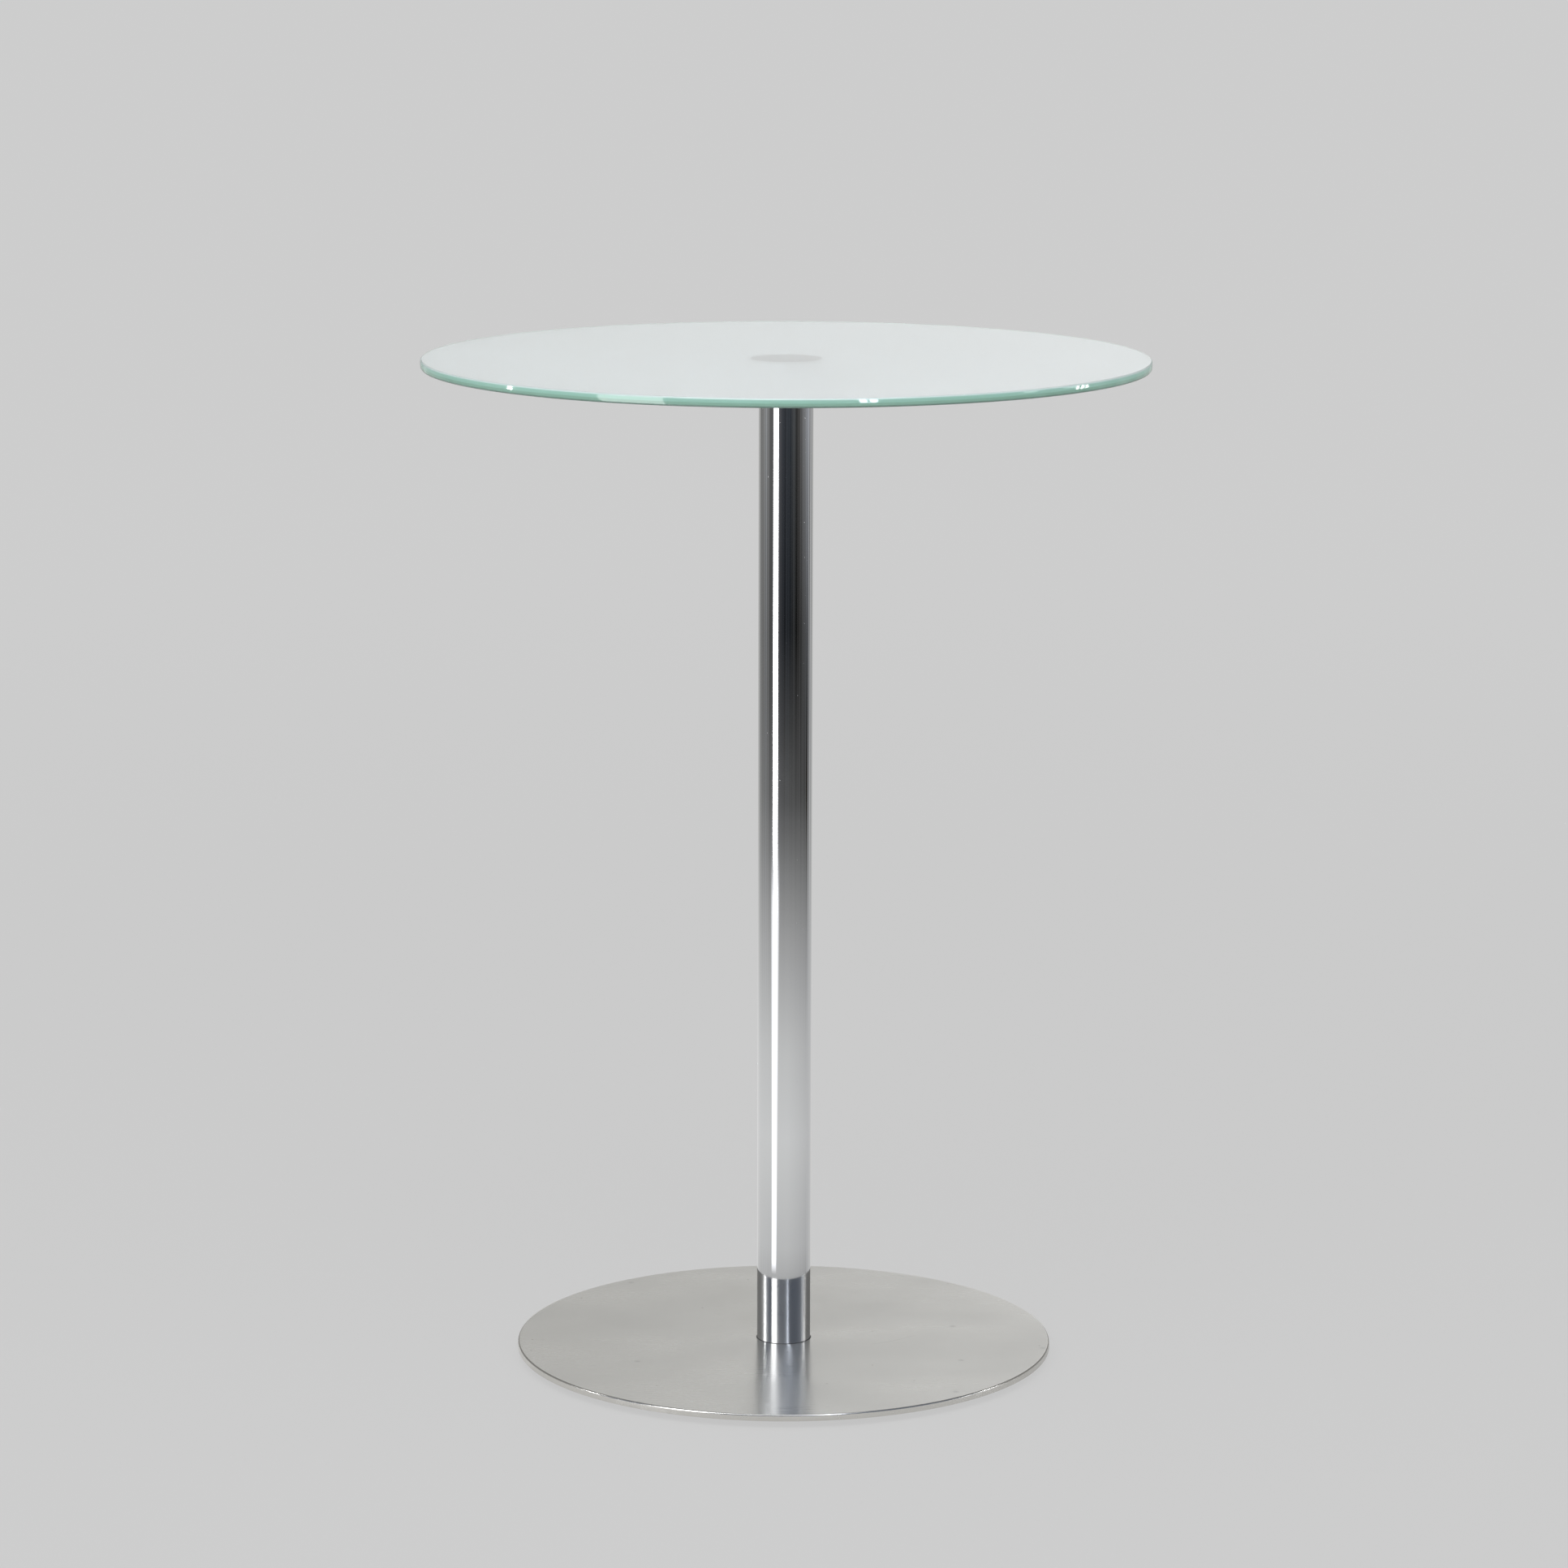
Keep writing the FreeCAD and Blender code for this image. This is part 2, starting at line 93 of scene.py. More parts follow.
# Base
PLATE_TOP = 13
PLATE_BOTTOM = 7
PLATE_RADIUS = 298.3
PLATE_UPPER_BEVEL = 0.6
PLATE_LOWER_BEVEL = 1
COVER_RADIUS = 300
COVER_TOP = 14.5
COVER_BOTTOM = 7.3
COVER_SHEET = 1.2
COVER_BEND = 1.8
COVER_HOLE = 30.8
COVER_HOLE_ROUND = 0.25
COVER_RINGS = (100, 200)
SEAL_INNER = 30.05
SEAL_OUTER = 30.75
SEAL_TOP = 14.9
SEAL_ROUND = 0.25

# Countersunk screws
SCREWS = 4
SCREW_CIRCLE = 18
SCREW_BOTTOM = 7.4
SCREW_HEAD = 8
SCREW_RIM = 0.1
SCREW_RIM_BEVEL = 0.25
SCREW_SHANK = 4
SCREW_LENGTH = 24
SCREW_TIP = 1
SCREW_NECK = 0.5
SCREW_HOLE = 4.5
SINK_CLEARANCE = 0.45
SCREW_SOCKET = 5
SOCKET_MOUTH = 3.1
SOCKET_BEVEL = 0.25
SOCKET_DEPTH = 2.6
SOCKET_POINT = 0.8
SMALL_PITCH = 1.25

# Levelling glides: nylon pad, and the stud whose head sits in its pocket
GLIDES = 4
FIRST_GLIDE = math.pi / 4
GLIDE_CIRCLE = 240
GLIDE_HOLE = 4.1
GLIDE_HOLE_BEVEL = 0.5
PAD_RADIUS = 15
PAD_RIM = 2.2
PAD_RIM_ROUND = 0.8
PAD_FOOT_ROUND = 0.4
PAD_CROWN = 8
PAD_TOP = 4
PAD_MOUTH = 3.6
POCKET_RADIUS = 4.4
POCKET_BOTTOM = 1.2
POCKET_TOP = 2.7
HOLLOW_RADIUS = 5.2
HOLLOW_DEPTH = 0.5
HOLLOW_SLOPE = 0.6
GROOVE_INNER = 8.8
GROOVE_OUTER = 10.8
GROOVE_DEPTH = 0.4
HEAD_RADIUS = 4.3
HEAD_BEVEL = 0.2
HEAD_TOP = 2.6
NECK_RADIUS = 3.5
COLLAR_WIDTH = 13
COLLAR_CLIP = 0.1
COLLAR_BOTTOM = 4.4
COLLAR_TOP = 7
COLLAR_BEVEL = 0.5
GLIDE_THREAD = 4
GLIDE_THREAD_TOP = 11.8
GLIDE_THREAD_GAP = 0.01
GLIDE_TIP = 12.6
GLIDE_TIP_RADIUS = 3.2

# Thread profile: depth as a share of the pitch, crest and flank as shares of half the pitch
THREAD_DEPTH = 0.61
THREAD_CREST = 0.125
THREAD_FLANK = 0.625


# Shapes


def soften(corners, closed=False, steps=FILLET_STEPS):
    """Rows of a half section, from corners given as radius, height, rounding and look.

    Each rounding becomes an arc. A row close to each end of an arc keeps the faces beside it flat in
    their shading.
    """
    rows = []
    for index, (radius, height, rounding, look) in enumerate(corners):
        inner = closed or 0 < index < len(corners) - 1
        if not (rounding and inner):
            rows.append((radius, height, look))
            continue
        corner = Vector((radius, height))
        last = corners[index - 1]
        to_last = Vector(last[:2]) - corner
        to_next = Vector(corners[(index + 1) % len(corners)][:2]) - corner
        before, after = to_last.normalized(), to_next.normalized()
        half = before.angle(after) / 2
        reach = rounding / math.tan(half)
        hold = reach + rounding * HOLD_SHARE
        centre = corner + (before + after).normalized() * rounding / math.sin(half)
        start = corner + before * reach - centre
        end = corner + after * reach - centre
        sweep = start.angle(end)
        if to_last.length > 2 * hold:
            rows.append((*(corner + before * hold), last[3]))
        for step in range(steps + 1):
            share = step / steps
            ahead = start * math.sin((1 - share) * sweep) + end * math.sin(share * sweep)
            rows.append((*(centre + ahead / math.sin(sweep)), look))
        if to_next.length > 2 * hold:
            rows.append((*(corner + after * hold), look))
    return rows


def add_ring(mesh, radius, height, spot, count):
    """One ring of points, or a single point where the radius is nothing."""
    across, along, turn = spot
    if radius == 0:
        return [mesh.verts.new((across * MM, along * MM, height * MM))]
    ring = []
    for step in range(count):
        angle = math.tau * step / count
        reach = radius(angle) if callable(radius) else radius
        x = across + reach * math.cos(angle + turn)
        y = along + reach * math.sin(angle + turn)
        ring.append(mesh.verts.new((x * MM, y * MM, height * MM)))
    return ring


def turned(name, rows, looks, count=SMALL_RING, closed=False, spots=((0, 0, 0),)):
    """A piece made of rings about an upright axis, repeated at each spot.

    A row's look is that of the band after it.
    """
    mesh = bmesh.new()
    for spot in spots:
        rings = [add_ring(mesh, radius, height, spot, count) for radius, height, _ in rows]
        pairs = list(zip(rings, rings[1:]))
        if closed:
            pairs.append((rings[-1], rings[0]))
        for (lower, upper), (_, _, look) in zip(pairs, rows):
            for step in range(count):
                after = (step + 1) % count
                corners = [ring[place % len(ring)] for ring, place in
                           ((lower, step), (lower, after), (upper, after), (upper, step))]
                face = mesh.faces.new(list(dict.fromkeys(corners)))
                face.material_index = look
    bmesh.ops.recalc_face_normals(mesh, faces=mesh.faces)
    data = bpy.data.meshes.new(name)
    mesh.to_mesh(data)
    mesh.free()
    for look in looks:
        data.materials.append(look)
    return place_mesh(name, data)


def place_mesh(name, data):
    """An object in the scene with this mesh, shaded smooth but for its sharp edges."""
    data.shade_smooth()
    data.set_sharp_from_angle(angle=SHARP_ANGLE)
    piece = bpy.data.objects.new(name, data)
    bpy.context.scene.collection.objects.link(piece)
    return piece


def cut(blank, tool):
    """Takes the tool's shape out of the blank and removes the tool."""
    modifier = blank.modifiers.new("cut", "BOOLEAN")
    modifier.operation = "DIFFERENCE"
    modifier.solver = "EXACT"
    modifier.object = tool
    bpy.context.view_layer.update()
    result = blank.evaluated_get(bpy.context.evaluated_depsgraph_get())
    data = bpy.data.meshes.new_from_object(result)
    name = blank.name
    bpy.data.objects.remove(blank)
    bpy.data.objects.remove(tool)
    return place_mesh(name, data)


def thread_rows(radius, pitch, bottom, top):
    """Rows of a screw thread between two heights, running out at both ends."""
    depth = pitch * THREAD_DEPTH
    count = round((top - bottom) / pitch * THREAD_STEPS)
    rows = []
    for step in range(count + 1):
        height = bottom + (top - bottom) * step / count
        run_out = min(1, (height - bottom) / pitch, (top - height) / pitch)

        def reach(angle, height=height, run_out=run_out):
            turn = (height / pitch - angle / math.tau) % 1
            flank = min(1, max(0, (abs(2 * turn - 1) - THREAD_CREST) / THREAD_FLANK))
            return radius - depth * flank * run_out

        rows.append((reach, height, 0))
    return rows


def hexagon(across_flats, most=math.inf):
    """Radius of a hexagon at each angle, cut down to a round one of the largest radius given."""

    def reach(angle):
        return min(most, across_flats / 2 / math.cos(angle % (math.pi / 3) - math.pi / 6))

    return reach


def ring_spots(radius, count, first):
    """Spots round a circle: across, along and turn."""
    angles = [first + math.tau * number / count for number in range(count)]
    return [(radius * math.cos(angle), radius * math.sin(angle), angle) for angle in angles]


# Materials

# Specks and scratches are at full strength within this share of their size
SPECK_CORE = 0.4
SCRATCH_CORE = 0.3

# Scratches break off by a noise this many times finer, and fade over this step of it
SCRATCH_BREAKS = 2.3
SCRATCH_FADE = 0.05

# Edge of the grey disc as it shows in the etched face, in millimetres to both sides of its rim
BOND_INSIDE = 1.5
BOND_OUTSIDE = 0.5

# Width of the rubbed rim of the plate, in millimetres
RUBBED_WIDTH = 3

# Sockets of a mix node that carry colours
FIRST_COLOUR = 6
SECOND_COLOUR = 7
MIXED_COLOUR = 2


class Graph:
    """Nodes of one material or of the world, wired up as they are made."""

    def __init__(self, tree):
        self.tree = tree
        tree.nodes.clear()

    def node(self, kind, inputs=None, **settings):
        made = self.tree.nodes.new(kind)
        for key, value in settings.items():
            setattr(made, key, value)
        for key, value in (inputs or {}).items():
            if isinstance(value, bpy.types.NodeSocket):
                self.tree.links.new(value, made.inputs[key])
            else:
                made.inputs[key].default_value = value
        return made

    def math(self, operation, *values):
        return self.node("ShaderNodeMath", dict(enumerate(values)), operation=operation).outputs[0]

    def span(self, value, low, high, to_low=0.0, to_high=1.0, smooth=False):
        """A value carried from one range to another, and held at its ends."""
        kind = "SMOOTHSTEP" if smooth else "LINEAR"
        inputs = {0: value, 1: low, 2: high, 3: to_low, 4: to_high}
        return self.node("ShaderNodeMapRange", inputs, interpolation_type=kind).outputs[0]

    def fade(self, value, low, high, smooth=False):
        """One below a range of the value, and nothing above it."""
        return self.span(value, low, high, to_low=1.0, to_high=0.0, smooth=smooth)

    def ramp(self, value, stops):
        """Colours along a value, each stop a place and a colour."""
        made = self.node("ShaderNodeValToRGB", {"Fac": value})
        elements = made.color_ramp.elements
        elements.remove(elements[1])
        elements[0].position = stops[0][0]
        elements[0].color = (*stops[0][1], 1)
        for place, colour in stops[1:]:
            elements.new(place).color = (*colour, 1)
        return made.outputs[0]

    def mix(self, share, first, second):
        """One colour mixed into another."""
        inputs = {0: share}
        for socket, colour in ((FIRST_COLOUR, first), (SECOND_COLOUR, second)):
            inputs[socket] = (*colour, 1) if isinstance(colour, tuple) else colour
        return self.node("ShaderNodeMix", inputs, data_type="RGBA").outputs[MIXED_COLOUR]

    def place(self):
        return self.node("ShaderNodeTexCoord").outputs["Object"]

    def axes(self, vector):
        return self.node("ShaderNodeSeparateXYZ", {0: vector}).outputs

    def radius(self):
        """Distance from the axis of the column."""
        x, y, _ = self.axes(self.place())
        flat = self.node("ShaderNodeCombineXYZ", {0: x, 1: y})
        return self.node("ShaderNodeVectorMath", {0: flat.outputs[0]}, operation="LENGTH").outputs["Value"]

    def noise(self, scale, stretch=(1, 1, 1), detail=3.0):
        """Noise with this many features to a metre, times the stretch along each axis."""
        where = self.node("ShaderNodeVectorMath", {0: self.place(), 1: stretch}, operation="MULTIPLY")
        inputs = {"Vector": where.outputs[0], "Scale": scale, "Detail": detail}
        return self.node("ShaderNodeTexNoise", inputs).outputs[0]

    def specks(self, scale, size, share, level=False):
        """Scattered round specks: one at most in each cell, in this share of the cells.

        Level ones lie on a level face.
        """
        kind = "2D" if level else "3D"
        inputs = {"Vector": self.place(), "Scale": scale}
        cells = self.node("ShaderNodeTexVoronoi", inputs, voronoi_dimensions=kind)
        inside = self.fade(cells.outputs["Distance"], size * SPECK_CORE, size)
        chosen = self.math("LESS_THAN", self.axes(cells.outputs["Color"])[0], share)
        return self.math("MULTIPLY", inside, chosen)

    def scratches(self, scale, width, share):
        """Fine curved lines, broken off where a second noise is low. A larger share leaves more of them."""
        bends = self.noise(scale, detail=1)
        off_line = self.math("ABSOLUTE", self.math("SUBTRACT", bends, 0.5))
        line = self.fade(off_line, width * SCRATCH_CORE, width)
        where = self.span(self.noise(scale * SCRATCH_BREAKS), 1 - share, 1 - share + SCRATCH_FADE)
        return self.math("MULTIPLY", line, where)

    def bump(self, height, distance):
        return self.node("ShaderNodeBump", {"Height": height, "Distance": distance}).outputs[0]

    def surface(self, **inputs):
        """The shader, with underscores in the names of its inputs for spaces."""
        named = {key.replace("_", " "): value for key, value in inputs.items()}
        shader = self.node("ShaderNodeBsdfPrincipled", named)
        self.node("ShaderNodeOutputMaterial", {0: shader.outputs[0]})


def new_look(name):
    look = bpy.data.materials.new(name)
    look.use_nodes = True
    return look, Graph(look.node_tree)


def satin_glass():
    """Etched lower face: milky, with a fine tooth and faint clouds, and grey over the bonded disc."""
    look, graph = new_look("satin_glass")
    inside, outside = (DISC_RADIUS - BOND_INSIDE) * MM, (DISC_RADIUS + BOND_OUTSIDE) * MM
    bonded = graph.fade(graph.radius(), inside, outside, smooth=True)
    tooth = graph.noise(scale=2600, detail=2)
    clouds = graph.noise(scale=4)
    milky = graph.mix(clouds, (0.82, 0.907, 0.929), (0.832, 0.914, 0.936))
    grey = (0.43, 0.48, 0.50)
    graph.surface(
        Base_Color=graph.mix(bonded, milky, grey),
        Roughness=graph.span(clouds, 0.3, 0.7, to_low=0.55, to_high=0.65),
        IOR=1.5,
        Transmission_Weight=0.75,
        Normal=graph.bump(tooth, 0.02 * MM),
    )
    return look


def clear_face():
    """Smooth upper face over the milky one, with faint smears and a few specks of dust."""
    look, graph = new_look("clear_face")
    smears = graph.noise(scale=7, detail=5)
    dust = graph.specks(scale=26, size=0.045, share=0.25)
    pale = graph.mix(smears, (0.773, 0.860, 0.897), (0.785, 0.869, 0.906))
    dusty = (0.40, 0.42, 0.41)
    graph.surface(
        Base_Color=graph.mix(graph.math("MULTIPLY", dust, 0.3), pale, dusty),
        Roughness=graph.span(smears, 0.35, 0.7, to_low=0.08, to_high=0.10),
        IOR=1.5,
        Transmission_Weight=0.8,
        Normal=graph.bump(dust, 0.05 * MM),
    )
    return look


def polished_edge():
    """Ground and polished edge: green from the light's long way in the glass, a painted highlight on the
    upper arris, painted shade below the middle and on the lower arris.
    """
    look, graph = new_look("polished_edge")
    _, _, height = graph.axes(graph.place())
    level = graph.span(height, GLASS_BOTTOM * MM, GLASS_TOP * MM)
    # Painted light by height: painted shade on the lower arris, the lower half painted darker than the
    # upper, a painted highlight on the upper arris
    green = graph.ramp(level, [
        (0.0, (0.12, 0.22, 0.17)),
        (0.13, (0.15, 0.27, 0.21)),
        (0.19, (0.27, 0.50, 0.38)),
        (0.25, (0.35, 0.65, 0.50)),
        (0.42, (0.345, 0.64, 0.49)),
        (0.52, (0.43, 0.81, 0.66)),
        (0.72, (0.45, 0.83, 0.68)),
        (0.80, (0.52, 0.87, 0.75)),
        (0.85, (0.66, 0.93, 0.87)),
        (0.90, (0.80, 0.95, 0.93)),
        (1.0, (0.90, 0.98, 0.97)),
    ])
    streaks = graph.noise(scale=1, stretch=(60, 60, 2500), detail=4)
    pale_streak = (0.62, 0.80, 0.75)
    off_middle = graph.math("ABSOLUTE", graph.math("SUBTRACT", level, 0.5))
    arris = graph.span(off_middle, 0.34, 0.37)
    ground = graph.math("MULTIPLY", arris, 0.22)
    graph.surface(
        Base_Color=graph.mix(graph.math("MULTIPLY", streaks, 0.16), green, pale_streak),
        Roughness=graph.math("ADD", ground, graph.span(streaks, 0, 1, to_low=0.02, to_high=0.07)),
        IOR=1.52,
        Specular_IOR_Level=0.64,
        Transmission_Weight=0.25,
        Normal=graph.bump(streaks, 0.004 * MM),
    )
    return look


def chrome():
    """Bright plating over a drawn tube: a mirror, faintly wavy, with smears and dull specks."""
    look, graph = new_look("chrome")
    smears = graph.noise(scale=24, stretch=(1, 1, 0.4), detail=5)
    waves = graph.noise(scale=12)
    specks = graph.specks(scale=150, size=0.09, share=0.16)
    dull = graph.math("MULTIPLY", specks, 0.4)
    haze = graph.span(smears, 0.45, 0.75, to_low=0.035, to_high=0.10)
    graph.surface(
        Base_Color=graph.mix(smears, (0.63, 0.64, 0.655), (0.67, 0.675, 0.68)),
        Metallic=1.0,
        Roughness=graph.math("ADD", haze, dull),
        Normal=graph.bump(waves, 0.03 * MM),
    )
    return look


def brushed_stainless():
    """Cover's face: grain brushed from left to right, cloudy wear, faint stains, specks and scratches."""
    look, graph = new_look("brushed_stainless")
    grain = graph.noise(scale=1, stretch=(45, 1300, 1300), detail=4)
    broad = graph.noise(scale=1, stretch=(5, 9, 9), detail=5)
    stains = graph.specks(scale=11, size=0.045, share=0.22, level=True)
    specks = graph.specks(scale=21, size=0.024, share=0.12, level=True)
    scratches = graph.scratches(scale=5, width=0.003, share=0.36)
    dulled, stain, soil = (0.605, 0.597, 0.575), (0.36, 0.355, 0.34), (0.17, 0.14, 0.11)
    steel = graph.mix(grain, (0.57, 0.56, 0.535), (0.67, 0.665, 0.65))
    worn = graph.mix(graph.span(broad, 0.35, 0.7), steel, dulled)
    stained = graph.mix(graph.math("MULTIPLY", stains, 0.22), worn, stain)
    marked = graph.mix(graph.math("MULTIPLY", scratches, 0.35), stained, stain)
    soiled = graph.mix(graph.math("MULTIPLY", specks, 0.8), marked, soil)
    brushed = graph.span(grain, 0.25, 0.75, to_low=0.265, to_high=0.32)
    rough = graph.math("ADD", brushed, graph.span(broad, 0.3, 0.7, to_low=-0.02, to_high=0.03))
    across = graph.node("ShaderNodeCombineXYZ", {1: 1.0})
    graph.surface(
        Base_Color=soiled,
        Metallic=1.0,
        Roughness=graph.math("ADD", rough, graph.math("MULTIPLY", stains, 0.08)),
        Anisotropic=0.82,
        Tangent=across.outputs[0],
        Normal=graph.bump(grain, 0.003 * MM),
    )
    return look


def spun_edge():
    """Cover's bent edge: a painted lighter reflection on the upright wall and painted shade on the bend,
    with grain along the rim and small knocks.
    """
    look, graph = new_look("spun_edge")
    _, _, height = graph.axes(graph.place())
    upper = graph.span(height, (COVER_TOP - COVER_BEND) * MM, COVER_TOP * MM)
    grain = graph.noise(scale=1, stretch=(12, 12, 2600), detail=4)
    knocks = graph.noise(scale=110, detail=3)
    rim = graph.node("ShaderNodeTangent", direction_type="RADIAL", axis="Z")
    # Painted light: the wall's colour is raised to lighten its reflection, the bend's colour lowered as
    # painted shade
    grain_and_painted_light_wall = graph.mix(grain, (0.73, 0.715, 0.68), (0.85, 0.835, 0.80))
    painted_dark_bend = (0.56, 0.55, 0.525)
    graph.surface(
        Base_Color=graph.mix(upper, grain_and_painted_light_wall, painted_dark_bend),
        Metallic=1.0,
        Roughness=graph.span(knocks, 0.35, 0.75, to_low=0.20, to_high=0.30),
        Anisotropic=0.5,
        Anisotropic_Rotation=0.25,
        Tangent=rim.outputs[0],
        Normal=graph.bump(knocks, 0.05 * MM),
    )
    return look


def turned_steel():
    """Lathe-turned steel: fine rings from the tool."""
    look, graph = new_look("turned_steel")
    ring = graph.node("ShaderNodeCombineXYZ", {0: graph.radius()})
    inputs = {"Vector": ring.outputs[0], "Scale": 1800.0, "Detail": 2.0}
    tool = graph.node("ShaderNodeTexNoise", inputs).outputs[0]
    graph.surface(
        Base_Color=graph.mix(tool, (0.22, 0.22, 0.217), (0.32, 0.32, 0.316)),
        Metallic=1.0,
        Roughness=graph.span(tool, 0.3, 0.7, to_low=0.28, to_high=0.42),
        Normal=graph.bump(tool, 0.02 * MM),
    )
    return look


def zinc_steel():
    """Zinc plating with a faint iridescent passivation."""
    look, graph = new_look("zinc_steel")
    tint = graph.noise(scale=160)
    bloom = graph.noise(scale=700)
    colour = graph.ramp(tint, [
        (0.3, (0.55, 0.58, 0.62)),
        (0.55, (0.60, 0.59, 0.52)),
        (0.75, (0.60, 0.57, 0.60)),
    ])
    graph.surface(
        Base_Color=colour,
        Metallic=1.0,
        Roughness=graph.span(bloom, 0.3, 0.7, to_low=0.25, to_high=0.45),
        Normal=graph.bump(bloom, 0.02 * MM),
    )
    return look


def black_steel():
    """Powder coat with a fine orange peel, rubbed bare here and there along the rim."""
    look, graph = new_look("black_steel")
    peel = graph.noise(scale=600)
    patches = graph.noise(scale=70, detail=5)
    near_rim = graph.span(graph.radius(), (PLATE_RADIUS - RUBBED_WIDTH) * MM, PLATE_RADIUS * MM)
    bare = graph.span(graph.math("MULTIPLY", near_rim, patches), 0.44, 0.52)
    coat = graph.mix(peel, (0.020, 0.020, 0.021), (0.034, 0.034, 0.035))
    bare_steel = (0.38, 0.37, 0.35)
    graph.surface(
        Base_Color=graph.mix(bare, coat, bare_steel),
        Metallic=bare,
        Roughness=graph.span(peel, 0.3, 0.7, to_low=0.38, to_high=0.52),
        Normal=graph.bump(peel, 0.08 * MM),
    )
    return look


def dark_polymer(name, dark, dusty, scale, smoothest, roughest, depth):
    """Moulded rubber or nylon: dark, finely grained, dusty in places."""
    look, graph = new_look(name)
    grain = graph.noise(scale)
    dust = graph.noise(scale=90, detail=5)
    graph.surface(
        Base_Color=graph.mix(graph.span(dust, 0.5, 0.8), dark, dusty),
        Roughness=graph.span(grain, 0.3, 0.7, smoothest, roughest),
        Normal=graph.bump(grain, depth),
    )
    return look


def black_rubber():
    return dark_polymer(
        "black_rubber", dark=(0.09, 0.09, 0.09), dusty=(0.20, 0.197, 0.19),
        scale=900, smoothest=0.5, roughest=0.7, depth=0.03 * MM,
    )


def black_nylon():
    return dark_polymer(
        "black_nylon", dark=(0.016, 0.016, 0.017), dusty=(0.06, 0.058, 0.055),
        scale=1400, smoothest=0.35, roughest=0.5, depth=0.02 * MM,
    )


def clear_adhesive():
    """Cured clear film with a few small bubbles."""
    look, graph = new_look("clear_adhesive")
    bubbles = graph.specks(scale=400, size=0.25, share=0.3)
    graph.surface(
        Base_Color=graph.mix(bubbles, (0.80, 0.82, 0.81), (0.93, 0.94, 0.93)),
        Roughness=graph.span(bubbles, 0, 1, to_low=0.12, to_high=0.4),
        IOR=1.48,
        Transmission_Weight=0.8,
        Normal=graph.bump(bubbles, 0.05 * MM),
    )
    return look


def foam_tape():
    """White acrylic foam with open pores."""
    look, graph = new_look("foam_tape")
    pores = graph.noise(scale=1500)
    graph.surface(
        Base_Color=graph.mix(pores, (0.55, 0.55, 0.53), (0.80, 0.80, 0.78)),
        Roughness=graph.span(pores, 0.3, 0.7, to_low=0.8, to_high=0.95),
        Normal=graph.bump(pores, 0.1 * MM),
    )
    return look


looks = {
    "satin_glass": satin_glass(),
    "clear_face": clear_face(),
    "polished_edge": polished_edge(),
    "chrome": chrome(),
    "brushed_stainless": brushed_stainless(),
    "spun_edge": spun_edge(),
    "turned_steel": turned_steel(),
    "zinc_steel": zinc_steel(),
    "black_steel": black_steel(),
    "black_rubber": black_rubber(),
    "black_nylon": black_nylon(),
    "clear_adhesive": clear_adhesive(),
    "foam_tape": foam_tape(),
}


# Pieces


def fit(piece, body, node):
    """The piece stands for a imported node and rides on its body."""
    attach(piece, body)
    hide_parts(node)


def make_glass():
    """Smooth face up, etched face down, and a polished edge that bulges a little between its arrises."""
    clear, satin, edge = 0, 1, 2
    shoulder = GLASS_RADIUS - GLASS_ARRIS
    middle = (GLASS_BOTTOM + GLASS_TOP) / 2
    half = (GLASS_TOP - GLASS_BOTTOM) / 2 - GLASS_ARRIS
    corners = [(0, GLASS_BOTTOM, 0, satin)]
    corners += [(ring, GLASS_BOTTOM, 0, satin) for ring in GLASS_RINGS]
    corners.append((shoulder, GLASS_BOTTOM, EDGE_BREAK, edge))
    for step in range(-EDGE_STEPS, EDGE_STEPS + 1):
        share = step / EDGE_STEPS
        rounding = EDGE_BREAK if abs(share) == 1 else 0
        corners.append((GLASS_RADIUS - EDGE_CROWN * share**2, middle + half * share, rounding, edge))
    corners.append((shoulder, GLASS_TOP, EDGE_BREAK, clear))
    corners += [(ring, GLASS_TOP, 0, clear) for ring in reversed(GLASS_RINGS)]
    corners.append((0, GLASS_TOP, 0, clear))
    shown = [looks["clear_face"], looks["satin_glass"], looks["polished_edge"]]
    piece = turned("glass_plate", soften(corners), shown, LARGE_RING)
    fit(piece, "table", "glass_top")


def make_film():
    """Clear adhesive, a hair thinner than its gap, with a rounded bead along its rim."""
    bottom, top = DISC_TOP + FILM_GAP, GLASS_BOTTOM - FILM_GAP
    rows = soften([
        (0, bottom, 0, 0),
        (DISC_RADIUS, bottom, FILM_BEAD, 0),
        (DISC_RADIUS, top, FILM_BEAD, 0),
        (0, top, 0, 0),
    ])
    piece = turned("clear_film", rows, [looks["clear_adhesive"]], COLUMN_RING)
    fit(piece, "table", "bond_film")


def make_disc():
    """Flange under the glass, a spigot that centres it in the tube, and a blind hole for the stud."""
    rows = soften([
        (0, STUD_HOLE_TOP, 0, 0),
        (STUD_HOLE_RADIUS, STUD_HOLE_TOP, 0, 0),
        (STUD_HOLE_RADIUS, SPIGOT_BOTTOM, EDGE_BREAK, 0),
        (SPIGOT_RADIUS, SPIGOT_BOTTOM, SPIGOT_ROUND, 0),
        (SPIGOT_RADIUS, DISC_BOTTOM, 0, 0),
        (DISC_RADIUS - DISC_BEVEL, DISC_BOTTOM, FINE_BREAK, 0),
        (DISC_RADIUS, DISC_BOTTOM + DISC_BEVEL, FINE_BREAK, 0),
        (DISC_RADIUS, DISC_TOP, FINE_BREAK, 0),
        (0, DISC_TOP, 0, 0),
    ])
    piece = turned("steel_disc", rows, [looks["turned_steel"]], COLUMN_RING)
    fit(piece, "table", "mount_disc")


def make_top_stud():
    """Threaded all along, with a bevel at both ends."""
    end_radius = STUD_RADIUS - STUD_BEVEL
    rows = [(0, STUD_BOTTOM, 0), (end_radius, STUD_BOTTOM, 0)]
    rows += thread_rows(STUD_RADIUS, STUD_PITCH, STUD_BOTTOM + STUD_BEVEL, STUD_TOP - STUD_BEVEL)
    rows += [(end_radius, STUD_TOP, 0), (0, STUD_TOP, 0)]
    piece = turned("threaded_stud", rows, [looks["zinc_steel"]])
    fit(piece, "table", "top_stud")


